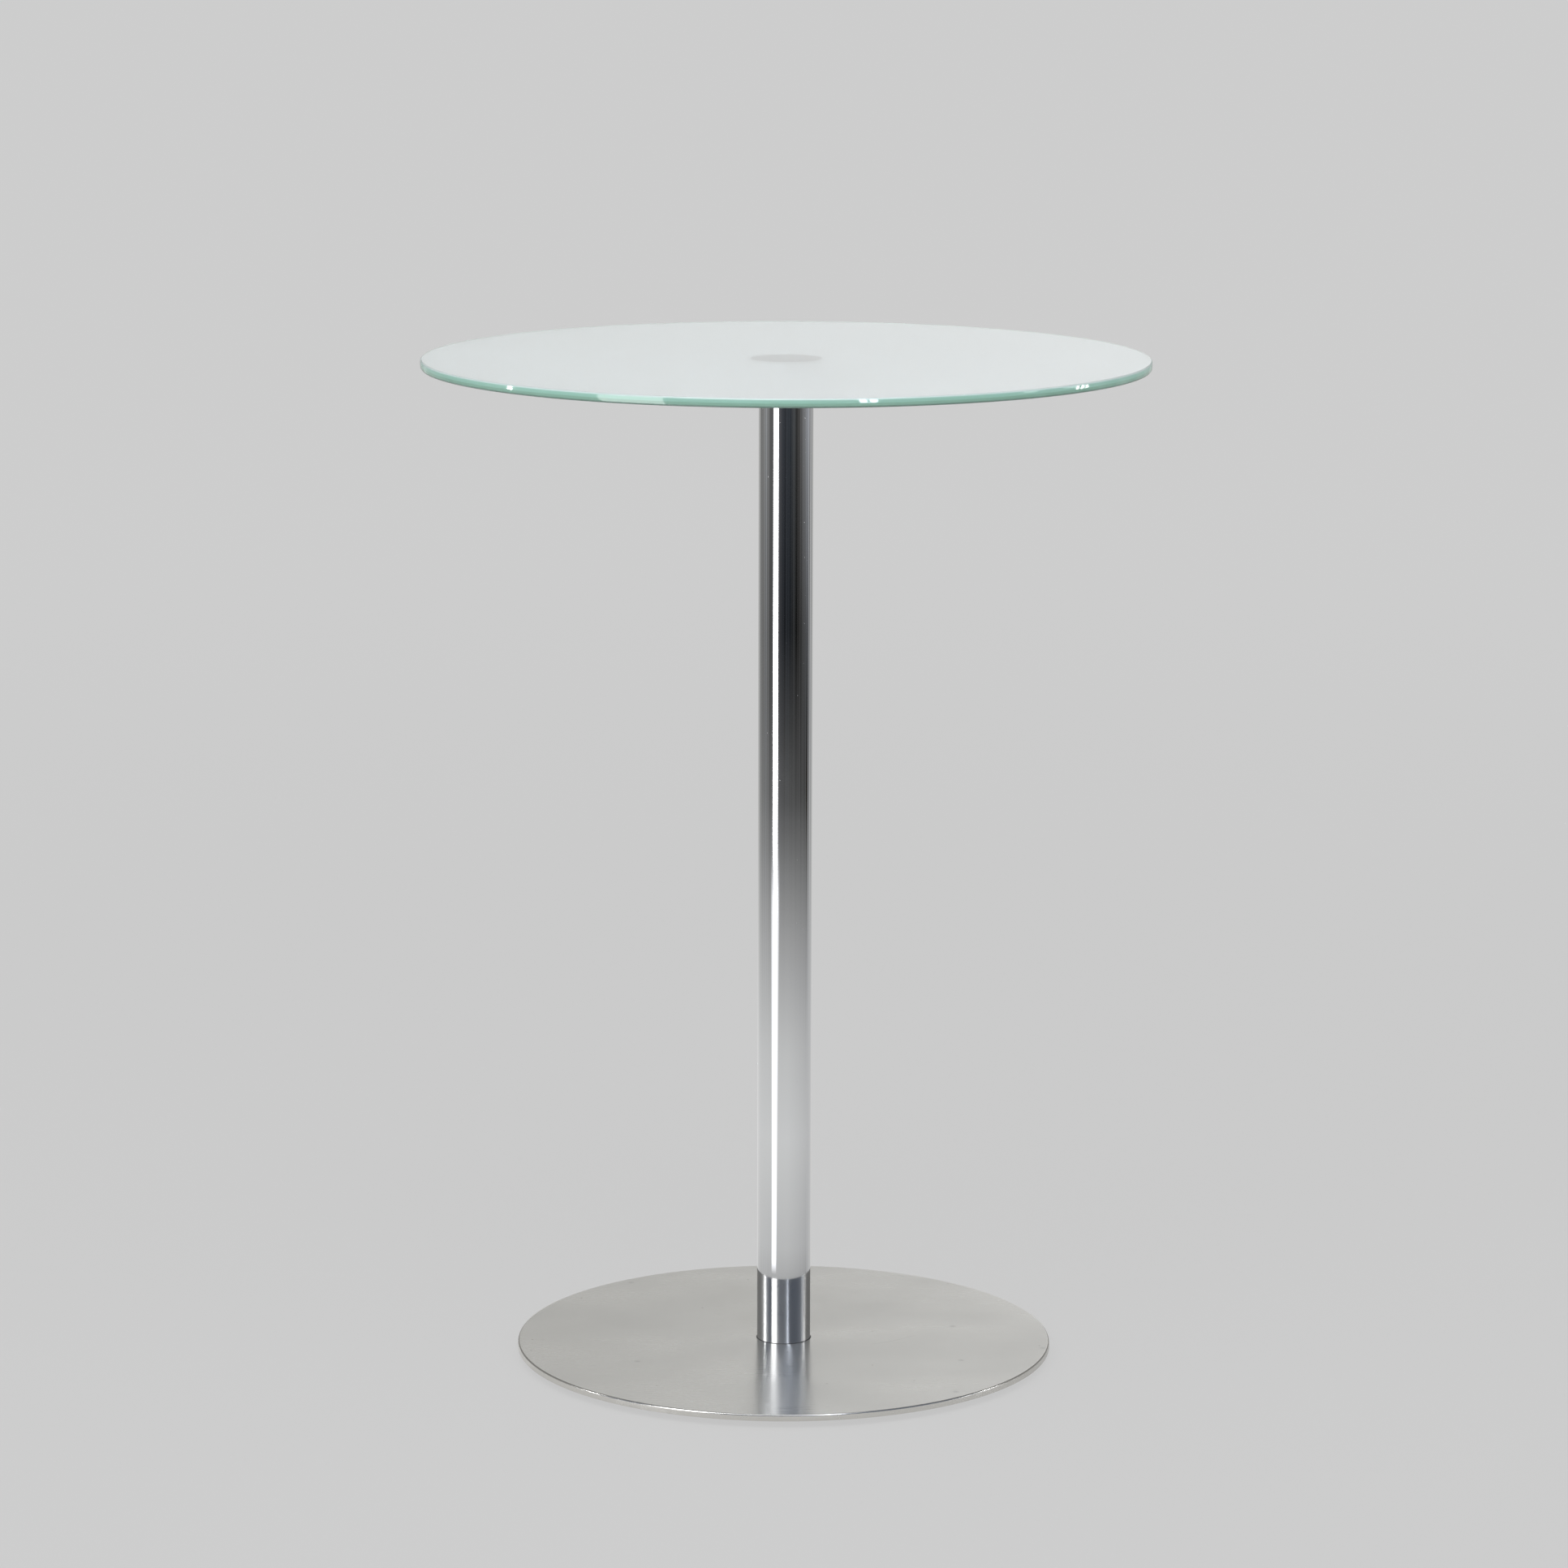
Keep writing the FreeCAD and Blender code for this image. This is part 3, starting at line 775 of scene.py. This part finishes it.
def make_column():
    """A tube with broken edges and rows along its length."""
    heights = range(COLUMN_ROW_STEP, int(COLUMN_TOP) - COLUMN_ROW_STEP, COLUMN_ROW_STEP)
    corners = [(COLUMN_RADIUS, PLATE_TOP, EDGE_BREAK, 0)]
    corners += [(COLUMN_RADIUS, height, 0, 0) for height in heights]
    corners += [
        (COLUMN_RADIUS, COLUMN_TOP, EDGE_BREAK, 0),
        (BORE_RADIUS, COLUMN_TOP, EDGE_BREAK, 0),
        (BORE_RADIUS, PLATE_TOP, EDGE_BREAK, 0),
    ]
    rows = soften(corners, closed=True)
    piece = turned("chrome_column", rows, [looks["chrome"]], COLUMN_RING, closed=True)
    fit(piece, "table", "column_tube")


def make_seal():
    """A ring between column and cover, with a rounded lip."""
    rows = soften([
        (SEAL_INNER, PLATE_TOP, 0, 0),
        (SEAL_INNER, SEAL_TOP, SEAL_ROUND, 0),
        (SEAL_OUTER, SEAL_TOP, SEAL_ROUND, 0),
        (SEAL_OUTER, PLATE_TOP, 0, 0),
    ], closed=True)
    piece = turned("ring_seal", rows, [looks["black_rubber"]], COLUMN_RING, closed=True)
    fit(piece, "table", "foot_seal")


def make_cover():
    """A thin sheet with a hole for the column and a bent edge."""
    face, edge = 0, 1
    under = COVER_TOP - COVER_SHEET
    wall = COVER_RADIUS - COVER_SHEET
    corners = [(COVER_HOLE, under, 0, face), (COVER_HOLE, COVER_TOP, COVER_HOLE_ROUND, face)]
    corners += [(ring, COVER_TOP, 0, face) for ring in COVER_RINGS]
    corners += [
        (COVER_RADIUS, COVER_TOP, COVER_BEND, edge),
        (COVER_RADIUS, COVER_BOTTOM, EDGE_BREAK, edge),
        (wall, COVER_BOTTOM, EDGE_BREAK, edge),
        (wall, under, COVER_BEND - COVER_SHEET, edge),
    ]
    corners += [(ring, under, 0, face) for ring in reversed(COVER_RINGS)]
    rows = soften(corners, closed=True, steps=BEND_STEPS)
    shown = [looks["brushed_stainless"], looks["spun_edge"]]
    piece = turned("cover_shell", rows, shown, LARGE_RING, closed=True)
    fit(piece, "table", "base_cover")


def make_plate():
    """A bevelled disc with countersunk holes for the screws and tapped ones for the glides."""
    rows = soften([
        (0, PLATE_BOTTOM, 0, 0),
        (PLATE_RADIUS - PLATE_LOWER_BEVEL, PLATE_BOTTOM, EDGE_BREAK, 0),
        (PLATE_RADIUS, PLATE_BOTTOM + PLATE_LOWER_BEVEL, EDGE_BREAK, 0),
        (PLATE_RADIUS, PLATE_TOP - PLATE_UPPER_BEVEL, FINE_BREAK, 0),
        (PLATE_RADIUS - PLATE_UPPER_BEVEL, PLATE_TOP, FINE_BREAK, 0),
        (0, PLATE_TOP, 0, 0),
    ])
    blank = turned("ballast_plate", rows, [looks["black_steel"]], LARGE_RING)
    below, above = PLATE_BOTTOM - TOOL_REACH, PLATE_TOP + TOOL_REACH
    mouth = SCREW_HEAD + SINK_CLEARANCE
    sink = [
        (0, below, 0),
        (mouth + TOOL_REACH, below, 0),
        (SCREW_HOLE, PLATE_BOTTOM + mouth - SCREW_HOLE, 0),
        (SCREW_HOLE, above, 0),
        (0, above, 0),
    ]
    tapped = [
        (0, below, 0),
        (GLIDE_HOLE + GLIDE_HOLE_BEVEL + TOOL_REACH, below, 0),
        (GLIDE_HOLE, PLATE_BOTTOM + GLIDE_HOLE_BEVEL, 0),
        (GLIDE_HOLE, above, 0),
        (0, above, 0),
    ]
    piece = cut(blank, turned("sinks", sink, [], spots=ring_spots(SCREW_CIRCLE, SCREWS, 0)))
    piece = cut(piece, turned("taps", tapped, [], spots=ring_spots(GLIDE_CIRCLE, GLIDES, FIRST_GLIDE)))
    fit(piece, "table", "base_plate")


def make_screws():
    """Countersunk screws with a hexagonal socket in the head and a rolled thread."""
    socket = hexagon(SCREW_SOCKET)
    top = SCREW_BOTTOM + SCREW_LENGTH
    under_head = SCREW_BOTTOM + SCREW_HEAD - SCREW_SHANK
    rows = [
        (0, SCREW_BOTTOM + SOCKET_DEPTH + SOCKET_POINT, 0),
        (socket, SCREW_BOTTOM + SOCKET_DEPTH, 0),
        (socket, SCREW_BOTTOM + SOCKET_BEVEL, 0),
        (SOCKET_MOUTH, SCREW_BOTTOM, 0),
        (SCREW_HEAD - SCREW_RIM_BEVEL, SCREW_BOTTOM, 0),
        (SCREW_HEAD, SCREW_BOTTOM + SCREW_RIM, 0),
        (SCREW_SHANK, under_head, 0),
    ]
    rows += thread_rows(SCREW_SHANK, SMALL_PITCH, under_head + SCREW_NECK, top - SCREW_TIP)
    rows += [(SCREW_SHANK - SCREW_TIP, top, 0), (0, top, 0)]
    spots = ring_spots(SCREW_CIRCLE, SCREWS, 0)
    piece = turned("column_screws", rows, [looks["zinc_steel"]], spots=spots)
    fit(piece, "table", "base_screws")


def make_pad(number, spot):
    """A nylon pad with a hollow and a groove below, and a pocket for the head of the stud."""
    rows = soften([
        (0, HOLLOW_DEPTH, 0, 0),
        (HOLLOW_RADIUS, HOLLOW_DEPTH, FINE_BREAK, 0),
        (HOLLOW_RADIUS + HOLLOW_SLOPE, 0, FINE_BREAK, 0),
        (GROOVE_INNER, 0, FINE_BREAK, 0),
        (GROOVE_INNER + GROOVE_DEPTH, GROOVE_DEPTH, 0, 0),
        (GROOVE_OUTER - GROOVE_DEPTH, GROOVE_DEPTH, 0, 0),
        (GROOVE_OUTER, 0, FINE_BREAK, 0),
        (PAD_RADIUS, 0, PAD_FOOT_ROUND, 0),
        (PAD_RADIUS, PAD_RIM, PAD_RIM_ROUND, 0),
        (PAD_CROWN, PAD_TOP, EDGE_BREAK, 0),
        (PAD_MOUTH, PAD_TOP, FINE_BREAK, 0),
        (PAD_MOUTH, POCKET_TOP, 0, 0),
        (POCKET_RADIUS, POCKET_TOP, 0, 0),
        (POCKET_RADIUS, POCKET_BOTTOM, 0, 0),
        (0, POCKET_BOTTOM, 0, 0),
    ])
    pad = turned(f"nylon_pad_{number}", rows, [looks["black_nylon"]], spots=[spot])
    fit(pad, f"pad_{number}", f"glide_pad_{number}")


def make_levelling_stud(number, spot):
    """The stud that turns in the pad: head, neck, hexagonal collar and thread."""
    full = hexagon(COLLAR_WIDTH)
    clipped = hexagon(COLLAR_WIDTH, COLLAR_WIDTH / 2 + COLLAR_CLIP)
    rows = [
        (0, POCKET_BOTTOM, 0),
        (HEAD_RADIUS - HEAD_BEVEL, POCKET_BOTTOM, 0),
        (HEAD_RADIUS, POCKET_BOTTOM + HEAD_BEVEL, 0),
        (HEAD_RADIUS, HEAD_TOP, 0),
        (NECK_RADIUS, HEAD_TOP, 0),
        (NECK_RADIUS, COLLAR_BOTTOM, 0),
        (clipped, COLLAR_BOTTOM, 0),
        (full, COLLAR_BOTTOM + COLLAR_BEVEL, 0),
        (full, COLLAR_TOP - COLLAR_BEVEL, 0),
        (clipped, COLLAR_TOP, 0),
        (GLIDE_THREAD, COLLAR_TOP, 0),
    ]
    rows += thread_rows(GLIDE_THREAD, SMALL_PITCH, COLLAR_TOP + GLIDE_THREAD_GAP, GLIDE_THREAD_TOP)
    rows += [(GLIDE_TIP_RADIUS, GLIDE_TIP, 0), (0, GLIDE_TIP, 0)]
    stud = turned(f"levelling_stud_{number}", rows, [looks["zinc_steel"]], spots=[spot])
    fit(stud, f"stud_{number}", f"glide_stud_{number}")


def dress_cad_nodes():
    """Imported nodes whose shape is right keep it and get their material."""
    kept = {
        "top_washer": "black_nylon",
        "head_plug": "turned_steel",
        "foot_plug": "turned_steel",
        "cover_tape": "foam_tape",
    }
    for node, name in kept.items():
        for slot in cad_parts[node].material_slots:
            slot.material = looks[name]


make_glass()
make_film()
make_disc()
make_top_stud()
make_column()
make_seal()
make_cover()
make_plate()
make_screws()
for number, (across, along, _) in enumerate(ring_spots(GLIDE_CIRCLE, GLIDES, FIRST_GLIDE), start=1):
    make_pad(number, (across, along, 0))
    make_levelling_stud(number, (across, along, 0))
dress_cad_nodes()


# Studio

# Brightness of the backdrop, and of the even light on matt things
BACKDROP = 0.61
AMBIENT = 0.5

# Floor to the camera: grey near and far, the matt part that takes the shadow, and metres from near to far
FLOOR_GREY = 0.535
FAR_FLOOR_GREY = 0.562
FLOOR_SHADED = 0.10
FLOOR_TURN = (0.8, 7.0)

# The floor lies off to one side, so that no edge between its triangles runs under the table
FLOOR_REACH = 60
FLOOR_ASIDE = 9

# Room in reflections: dim towards the camera, a wall behind that is brighter to the right, and a window
FRONT_ROOM = (0.165, 0.188, 0.235)
SIDE_ROOM = (0.28, 0.28, 0.275)
WALL_LEFT = (0.48, 0.475, 0.45)
WALL_RIGHT = (1.35, 1.35, 1.34)
WINDOW = (3.4, 3.5, 3.7)

# Where one part of the room gives way to the next, along the axes of a unit vector
FRONT_TO_BACK = (-0.15, 0.35)
WALL_TURN = (-0.13, 0.13)
WALL_LEVELS = (0.10, 0.25)
LOW_WALL_CONTRAST = 0.35
WALL_EDGE = (0.09, 0.22)
WALL_TOP = (0.52, 0.72)
WINDOW_ACROSS = 0.986
WINDOW_EDGE = (0.005, 0.010)
WINDOW_TOP = (0.35, 0.45)

# Far studio in reflections: degrees round the column, nothing towards the camera and positive to its right
FAR_STUDIO = [
    (-155, (0.52, 0.52, 0.51)),
    (-140, (0.42, 0.42, 0.41)),
    (-125, (0.25, 0.25, 0.245)),
    (-104, (0.28, 0.28, 0.275)),
    (-93, (0.42, 0.43, 0.44)),
    (-84, (0.27, 0.27, 0.27)),
    (-66, (0.15, 0.15, 0.148)),
    (-28, (0.13, 0.13, 0.14)),
    (-14, (0.055, 0.060, 0.070)),
    (20, (0.040, 0.046, 0.054)),
    (32, (0.095, 0.10, 0.105)),
    (43, (0.047, 0.048, 0.048)),
    (60, (0.088, 0.085, 0.083)),
    (70, (0.17, 0.17, 0.17)),
    (92, (0.30, 0.305, 0.315)),
    (106, (0.46, 0.475, 0.51)),
    (120, (0.40, 0.40, 0.40)),
    (135, (0.47, 0.47, 0.47)),
    (155, (0.50, 0.50, 0.49)),
]

# Drapes there: folds to a degree, and how their light varies
DRAPE_SCALE = 0.12
DRAPE_LIGHT = (0.65, 1.35)

# The nearer the drapes, in metres, the darker, more so to the right but not at the back, in degrees
DARK_RANGE = (3.5, 9.0)
DARK_TURN = (-60.0, 60.0)
DARK_SHARES = (0.5, 1.0)
DARK_SIDES = (110.0, 125.0)

# White paper round the table in reflections, and the degrees over which it gets dimmer to the right
PAPER_LEFT = (0.86, 0.86, 0.8514)
PAPER_RIGHT = (0.688, 0.688, 0.688)
PAPER_TURN = (15.0, 130.0)

# Its share of what is seen, by the distance from the column in metres; the low shares next to the base are
# a painted shadow of the base
PAPER_REACH = 6.0
PAPER_SHARES_WITH_BASE_SHADOW = [
    (0.30, (0.58, 0.58, 0.57)),
    (0.36, (0.70, 0.70, 0.69)),
    (0.48, (0.84, 0.84, 0.84)),
    (1.02, (1.0, 1.0, 1.0)),
    (1.50, (0.89, 0.89, 0.89)),
    (2.04, (0.65, 0.65, 0.65)),
    (2.52, (0.44, 0.44, 0.44)),
    (2.94, (0.26, 0.26, 0.26)),
    (3.39, (0.13, 0.13, 0.13)),
    (4.26, (0.055, 0.055, 0.055)),
    (5.28, (0.0, 0.0, 0.0)),
]

# Beam of light across the paper in reflections: degrees, an outer edge that widens with each metre, metres
BEAM = (2.0, 2.0, 2.05)
BEAM_AZIMUTH = -42.3
BEAM_HALF_WIDTH = 8.0
BEAM_SPREAD = 4.0
BEAM_SOFTNESS = 10.0
BEAM_START = (0.37, 0.43)
BEAM_END = (2.5, 2.9)

# Painted shade on the floor under the base in reflections, and the metres over which it ends
PAINTED_SHADE_UNDER_BASE = (0.30, 0.30, 0.30)
COVERED_EDGE = (0.27, 0.295)

# The photograph's view, with the frame taken as square: metres, degrees and millimetres
CAMERA_PLACE = (0, -5.962, 1.757)
CAMERA_PITCH = -10.517
CAMERA_YAW = -0.012
CAMERA_ROLL = 0.156
SENSOR_WIDTH = 36
FOCAL_LENGTH = 125.44


def even(brightness):
    """A grey of that brightness."""
    return (brightness, brightness, brightness)


def plain_light(graph, path):
    """What rays other than reflections see: the backdrop, or an even light for matt things."""
    return graph.mix(path["Is Diffuse Ray"], even(BACKDROP), even(AMBIENT))


def make_world():
    """Even pale light. In reflections the studio is pale behind the table and dim towards the camera."""
    world = bpy.data.worlds.new("studio")
    bpy.context.scene.world = world
    world.use_nodes = True
    world.cycles.sampling_method = "NONE"
    graph = Graph(world.node_tree)
    x, y, z = graph.axes(graph.node("ShaderNodeTexCoord").outputs["Generated"])
    behind = graph.span(y, *FRONT_TO_BACK, smooth=True)
    contrast = graph.span(z, *WALL_LEVELS, to_low=LOW_WALL_CONTRAST, to_high=1.0)
    off_middle = graph.span(x, *WALL_TURN, to_low=-0.5, to_high=0.5)
    right = graph.math("MULTIPLY_ADD", off_middle, contrast, 0.5)
    wall = graph.mix(right, WALL_LEFT, WALL_RIGHT)
    aside = graph.span(graph.math("ABSOLUTE", x), *WALL_EDGE, smooth=True)
    ceiling = graph.span(z, *WALL_TOP, smooth=True)
    back = graph.mix(graph.math("MAXIMUM", aside, ceiling), wall, SIDE_ROOM)
    room = graph.mix(behind, FRONT_ROOM, back)
    low = graph.fade(z, *WINDOW_TOP)
    off_window = graph.math("ABSOLUTE", graph.math("SUBTRACT", x, WINDOW_ACROSS))
    window = graph.math("MULTIPLY", low, graph.fade(off_window, *WINDOW_EDGE))
    mirrored = graph.mix(window, room, WINDOW)
    path = graph.node("ShaderNodeLightPath").outputs
    seen = graph.mix(path["Is Glossy Ray"], plain_light(graph, path), mirrored)
    sky = graph.node("ShaderNodeBackground", {0: seen})
    graph.node("ShaderNodeOutputWorld", {0: sky.outputs[0]})


def mirrored_floor(graph):
    """What reflections see of the floor: white paper near the table with a painted shadow of the base
    beside and under it, drapes and a dim studio far off.
    """
    x, y, _ = graph.axes(graph.place())
    radius = graph.radius()
    azimuth = graph.math("DEGREES", graph.math("ARCTAN2", x, graph.math("MULTIPLY", y, -1.0)))
    around = graph.span(azimuth, -180.0, 180.0)
    far = graph.ramp(around, [(0.5 + degrees / 360, colour) for degrees, colour in FAR_STUDIO])
    inputs = {"W": azimuth, "Scale": DRAPE_SCALE, "Detail": 4.0}
    drapes = graph.node("ShaderNodeTexNoise", inputs, noise_dimensions="1D")
    sides = graph.fade(graph.math("ABSOLUTE", azimuth), *DARK_SIDES)
    most = graph.span(azimuth, *DARK_TURN, *DARK_SHARES)
    shut = graph.math("MULTIPLY", sides, graph.span(radius, *DARK_RANGE, to_low=most, to_high=0.0))
    varied = graph.span(drapes.outputs[0], 0.3, 0.7, *DRAPE_LIGHT)
    fold = graph.math("SUBTRACT", varied, shut)
    folds = graph.node("ShaderNodeVectorMath", {0: far, "Scale": fold}, operation="SCALE").outputs[0]
    shares = [(metres / PAPER_REACH, share) for metres, share in PAPER_SHARES_WITH_BASE_SHADOW]
    # The paper's share dips next to the base: a painted shadow of the base
    paper = graph.ramp(graph.math("DIVIDE", radius, PAPER_REACH), shares)
    sheet = graph.mix(graph.span(azimuth, *PAPER_TURN), PAPER_LEFT, PAPER_RIGHT)
    spread = graph.mix(paper, folds, sheet)
    off_beam = graph.math("ABSOLUTE", graph.math("SUBTRACT", azimuth, BEAM_AZIMUTH))
    softness = graph.math("MULTIPLY_ADD", radius, BEAM_SPREAD, BEAM_SOFTNESS)
    across = graph.fade(off_beam, BEAM_HALF_WIDTH, softness)
    along = graph.math("MULTIPLY", graph.fade(radius, *BEAM_END), graph.span(radius, *BEAM_START))
    beamed = graph.mix(graph.math("MULTIPLY", across, along), spread, BEAM)
    # Painted shade on the floor under the base
    painted_shade_under_base = graph.fade(radius, *COVERED_EDGE)
    return graph.mix(painted_shade_under_base, beamed, PAINTED_SHADE_UNDER_BASE)


def make_floor():
    """Plain pale floor that keeps the table's shadow and is clear from below."""
    mesh = bmesh.new()
    aside = Matrix.Translation((FLOOR_ASIDE, 0, 0))
    bmesh.ops.create_grid(mesh, x_segments=1, y_segments=1, size=FLOOR_REACH, matrix=aside)
    data = bpy.data.meshes.new("floor")
    mesh.to_mesh(data)
    mesh.free()
    floor = bpy.data.objects.new("floor", data)
    bpy.context.scene.collection.objects.link(floor)
    look, graph = new_look("pale_floor")
    data.materials.append(look)

    path = graph.node("ShaderNodeLightPath").outputs
    light = graph.mix(path["Is Glossy Ray"], plain_light(graph, path), mirrored_floor(graph))
    glow = graph.node("ShaderNodeEmission", {0: light})
    distant = graph.span(graph.radius(), *FLOOR_TURN, smooth=True)
    grey = graph.node("ShaderNodeEmission", {0: graph.mix(distant, even(FLOOR_GREY), even(FAR_FLOOR_GREY))})
    shaded = graph.node("ShaderNodeBsdfDiffuse", {0: (*even(FLOOR_SHADED), 1)})
    lit = graph.node("ShaderNodeAddShader", {0: grey.outputs[0], 1: shaded.outputs[0]})
    clear = graph.node("ShaderNodeBsdfTransparent")
    below = graph.node("ShaderNodeNewGeometry").outputs["Backfacing"]
    viewed = graph.node("ShaderNodeMixShader", {0: below, 1: lit.outputs[0], 2: clear.outputs[0]})
    surface = graph.node("ShaderNodeMixShader", {
        0: path["Is Camera Ray"],
        1: glow.outputs[0],
        2: viewed.outputs[0],
    })
    graph.node("ShaderNodeOutputMaterial", {0: surface.outputs[0]})


def soft_box(name, place, aim, width, height, radiance, colour=(1, 1, 1), seen=True, lights=True):
    """A rectangular lamp of that radiance, aimed at a point.

    It can be seen in reflections, light matt things, or both.
    """
    lamp = bpy.data.lights.new(name, "AREA")
    lamp.shape = "RECTANGLE"
    lamp.size = width
    lamp.size_y = height
    lamp.energy = radiance * math.pi * width * height
    lamp.color = colour
    holder = bpy.data.objects.new(name, lamp)
    bpy.context.scene.collection.objects.link(holder)
    holder.location = place
    holder.rotation_mode = "QUATERNION"
    holder.rotation_quaternion = (Vector(aim) - Vector(place)).to_track_quat("-Z", "Y")
    holder.visible_camera = False
    holder.visible_glossy = seen
    holder.visible_diffuse = lights


def standing_box(name, x, y, facing, width, bottom, top, radiance, colour=(1, 1, 1)):
    """An upright soft box, facing a point of the floor plan, that shows in the metal and the glass edge."""
    level = (bottom + top) / 2
    soft_box(name, (x, y, level), (*facing, level), width, top - bottom, radiance, colour, lights=False)


def make_lamps():
    """Two large lamps that light the table, and upright ones that show in its reflections."""
    soft_box("overhead_box", place=(0, -1.0, 3.0), aim=(0, -1.0, 0), width=2.0, height=1.6, radiance=2.2)
    soft_box(
        "key_box", place=(-2.4, -2.2, 2.8), aim=(0, 0, 0.7),
        width=1.8, height=1.8, radiance=1.6, seen=False,
    )
    standing_box(
        "left_box", x=-2.88, y=-0.05, facing=(0, 0),
        width=0.10, bottom=0.80, top=1.6, radiance=42,
    )
    standing_box(
        "main_box", x=-0.985, y=-1.01, facing=(-0.985, 0),
        width=0.73, bottom=0.26, top=2.2, radiance=4.6,
    )
    for number, step in enumerate((-0.04, 0.04), start=1):
        standing_box(
            f"narrow_box_{number}", x=0.55 + step, y=-1.38, facing=(step, 0),
            width=0.05, bottom=1.0, top=2.2, radiance=24, colour=(0.80, 0.86, 1.0),
        )
    for number, step in enumerate((-0.10, 0, 0.10), start=1):
        standing_box(
            f"right_box_{number}", x=2.40, y=0.30 + step, facing=(0, step),
            width=0.055, bottom=0.85, top=1.25, radiance=15,
        )


def make_camera():
    """Looks level to the back, then tipped down, turned and rolled by its three angles."""
    pitch, yaw, roll = [math.radians(angle) for angle in (CAMERA_PITCH, CAMERA_YAW, CAMERA_ROLL)]
    forward = Vector((math.sin(yaw) * math.cos(pitch), math.cos(yaw) * math.cos(pitch), math.sin(pitch)))
    level = Vector((math.cos(yaw), -math.sin(yaw), 0))
    upright = level.cross(forward)
    right = level * math.cos(roll) + upright * math.sin(roll)
    up = upright * math.cos(roll) - level * math.sin(roll)
    lens = bpy.data.cameras.new("camera")
    lens.sensor_width = SENSOR_WIDTH
    lens.lens = FOCAL_LENGTH
    camera = bpy.data.objects.new("camera", lens)
    bpy.context.scene.collection.objects.link(camera)
    turn = Matrix((right, up, -forward)).transposed().to_4x4()
    camera.matrix_world = Matrix.Translation(CAMERA_PLACE) @ turn
    bpy.context.scene.camera = camera


make_world()
make_floor()
make_lamps()
make_camera()
bpy.context.scene.view_settings.view_transform = "Standard"
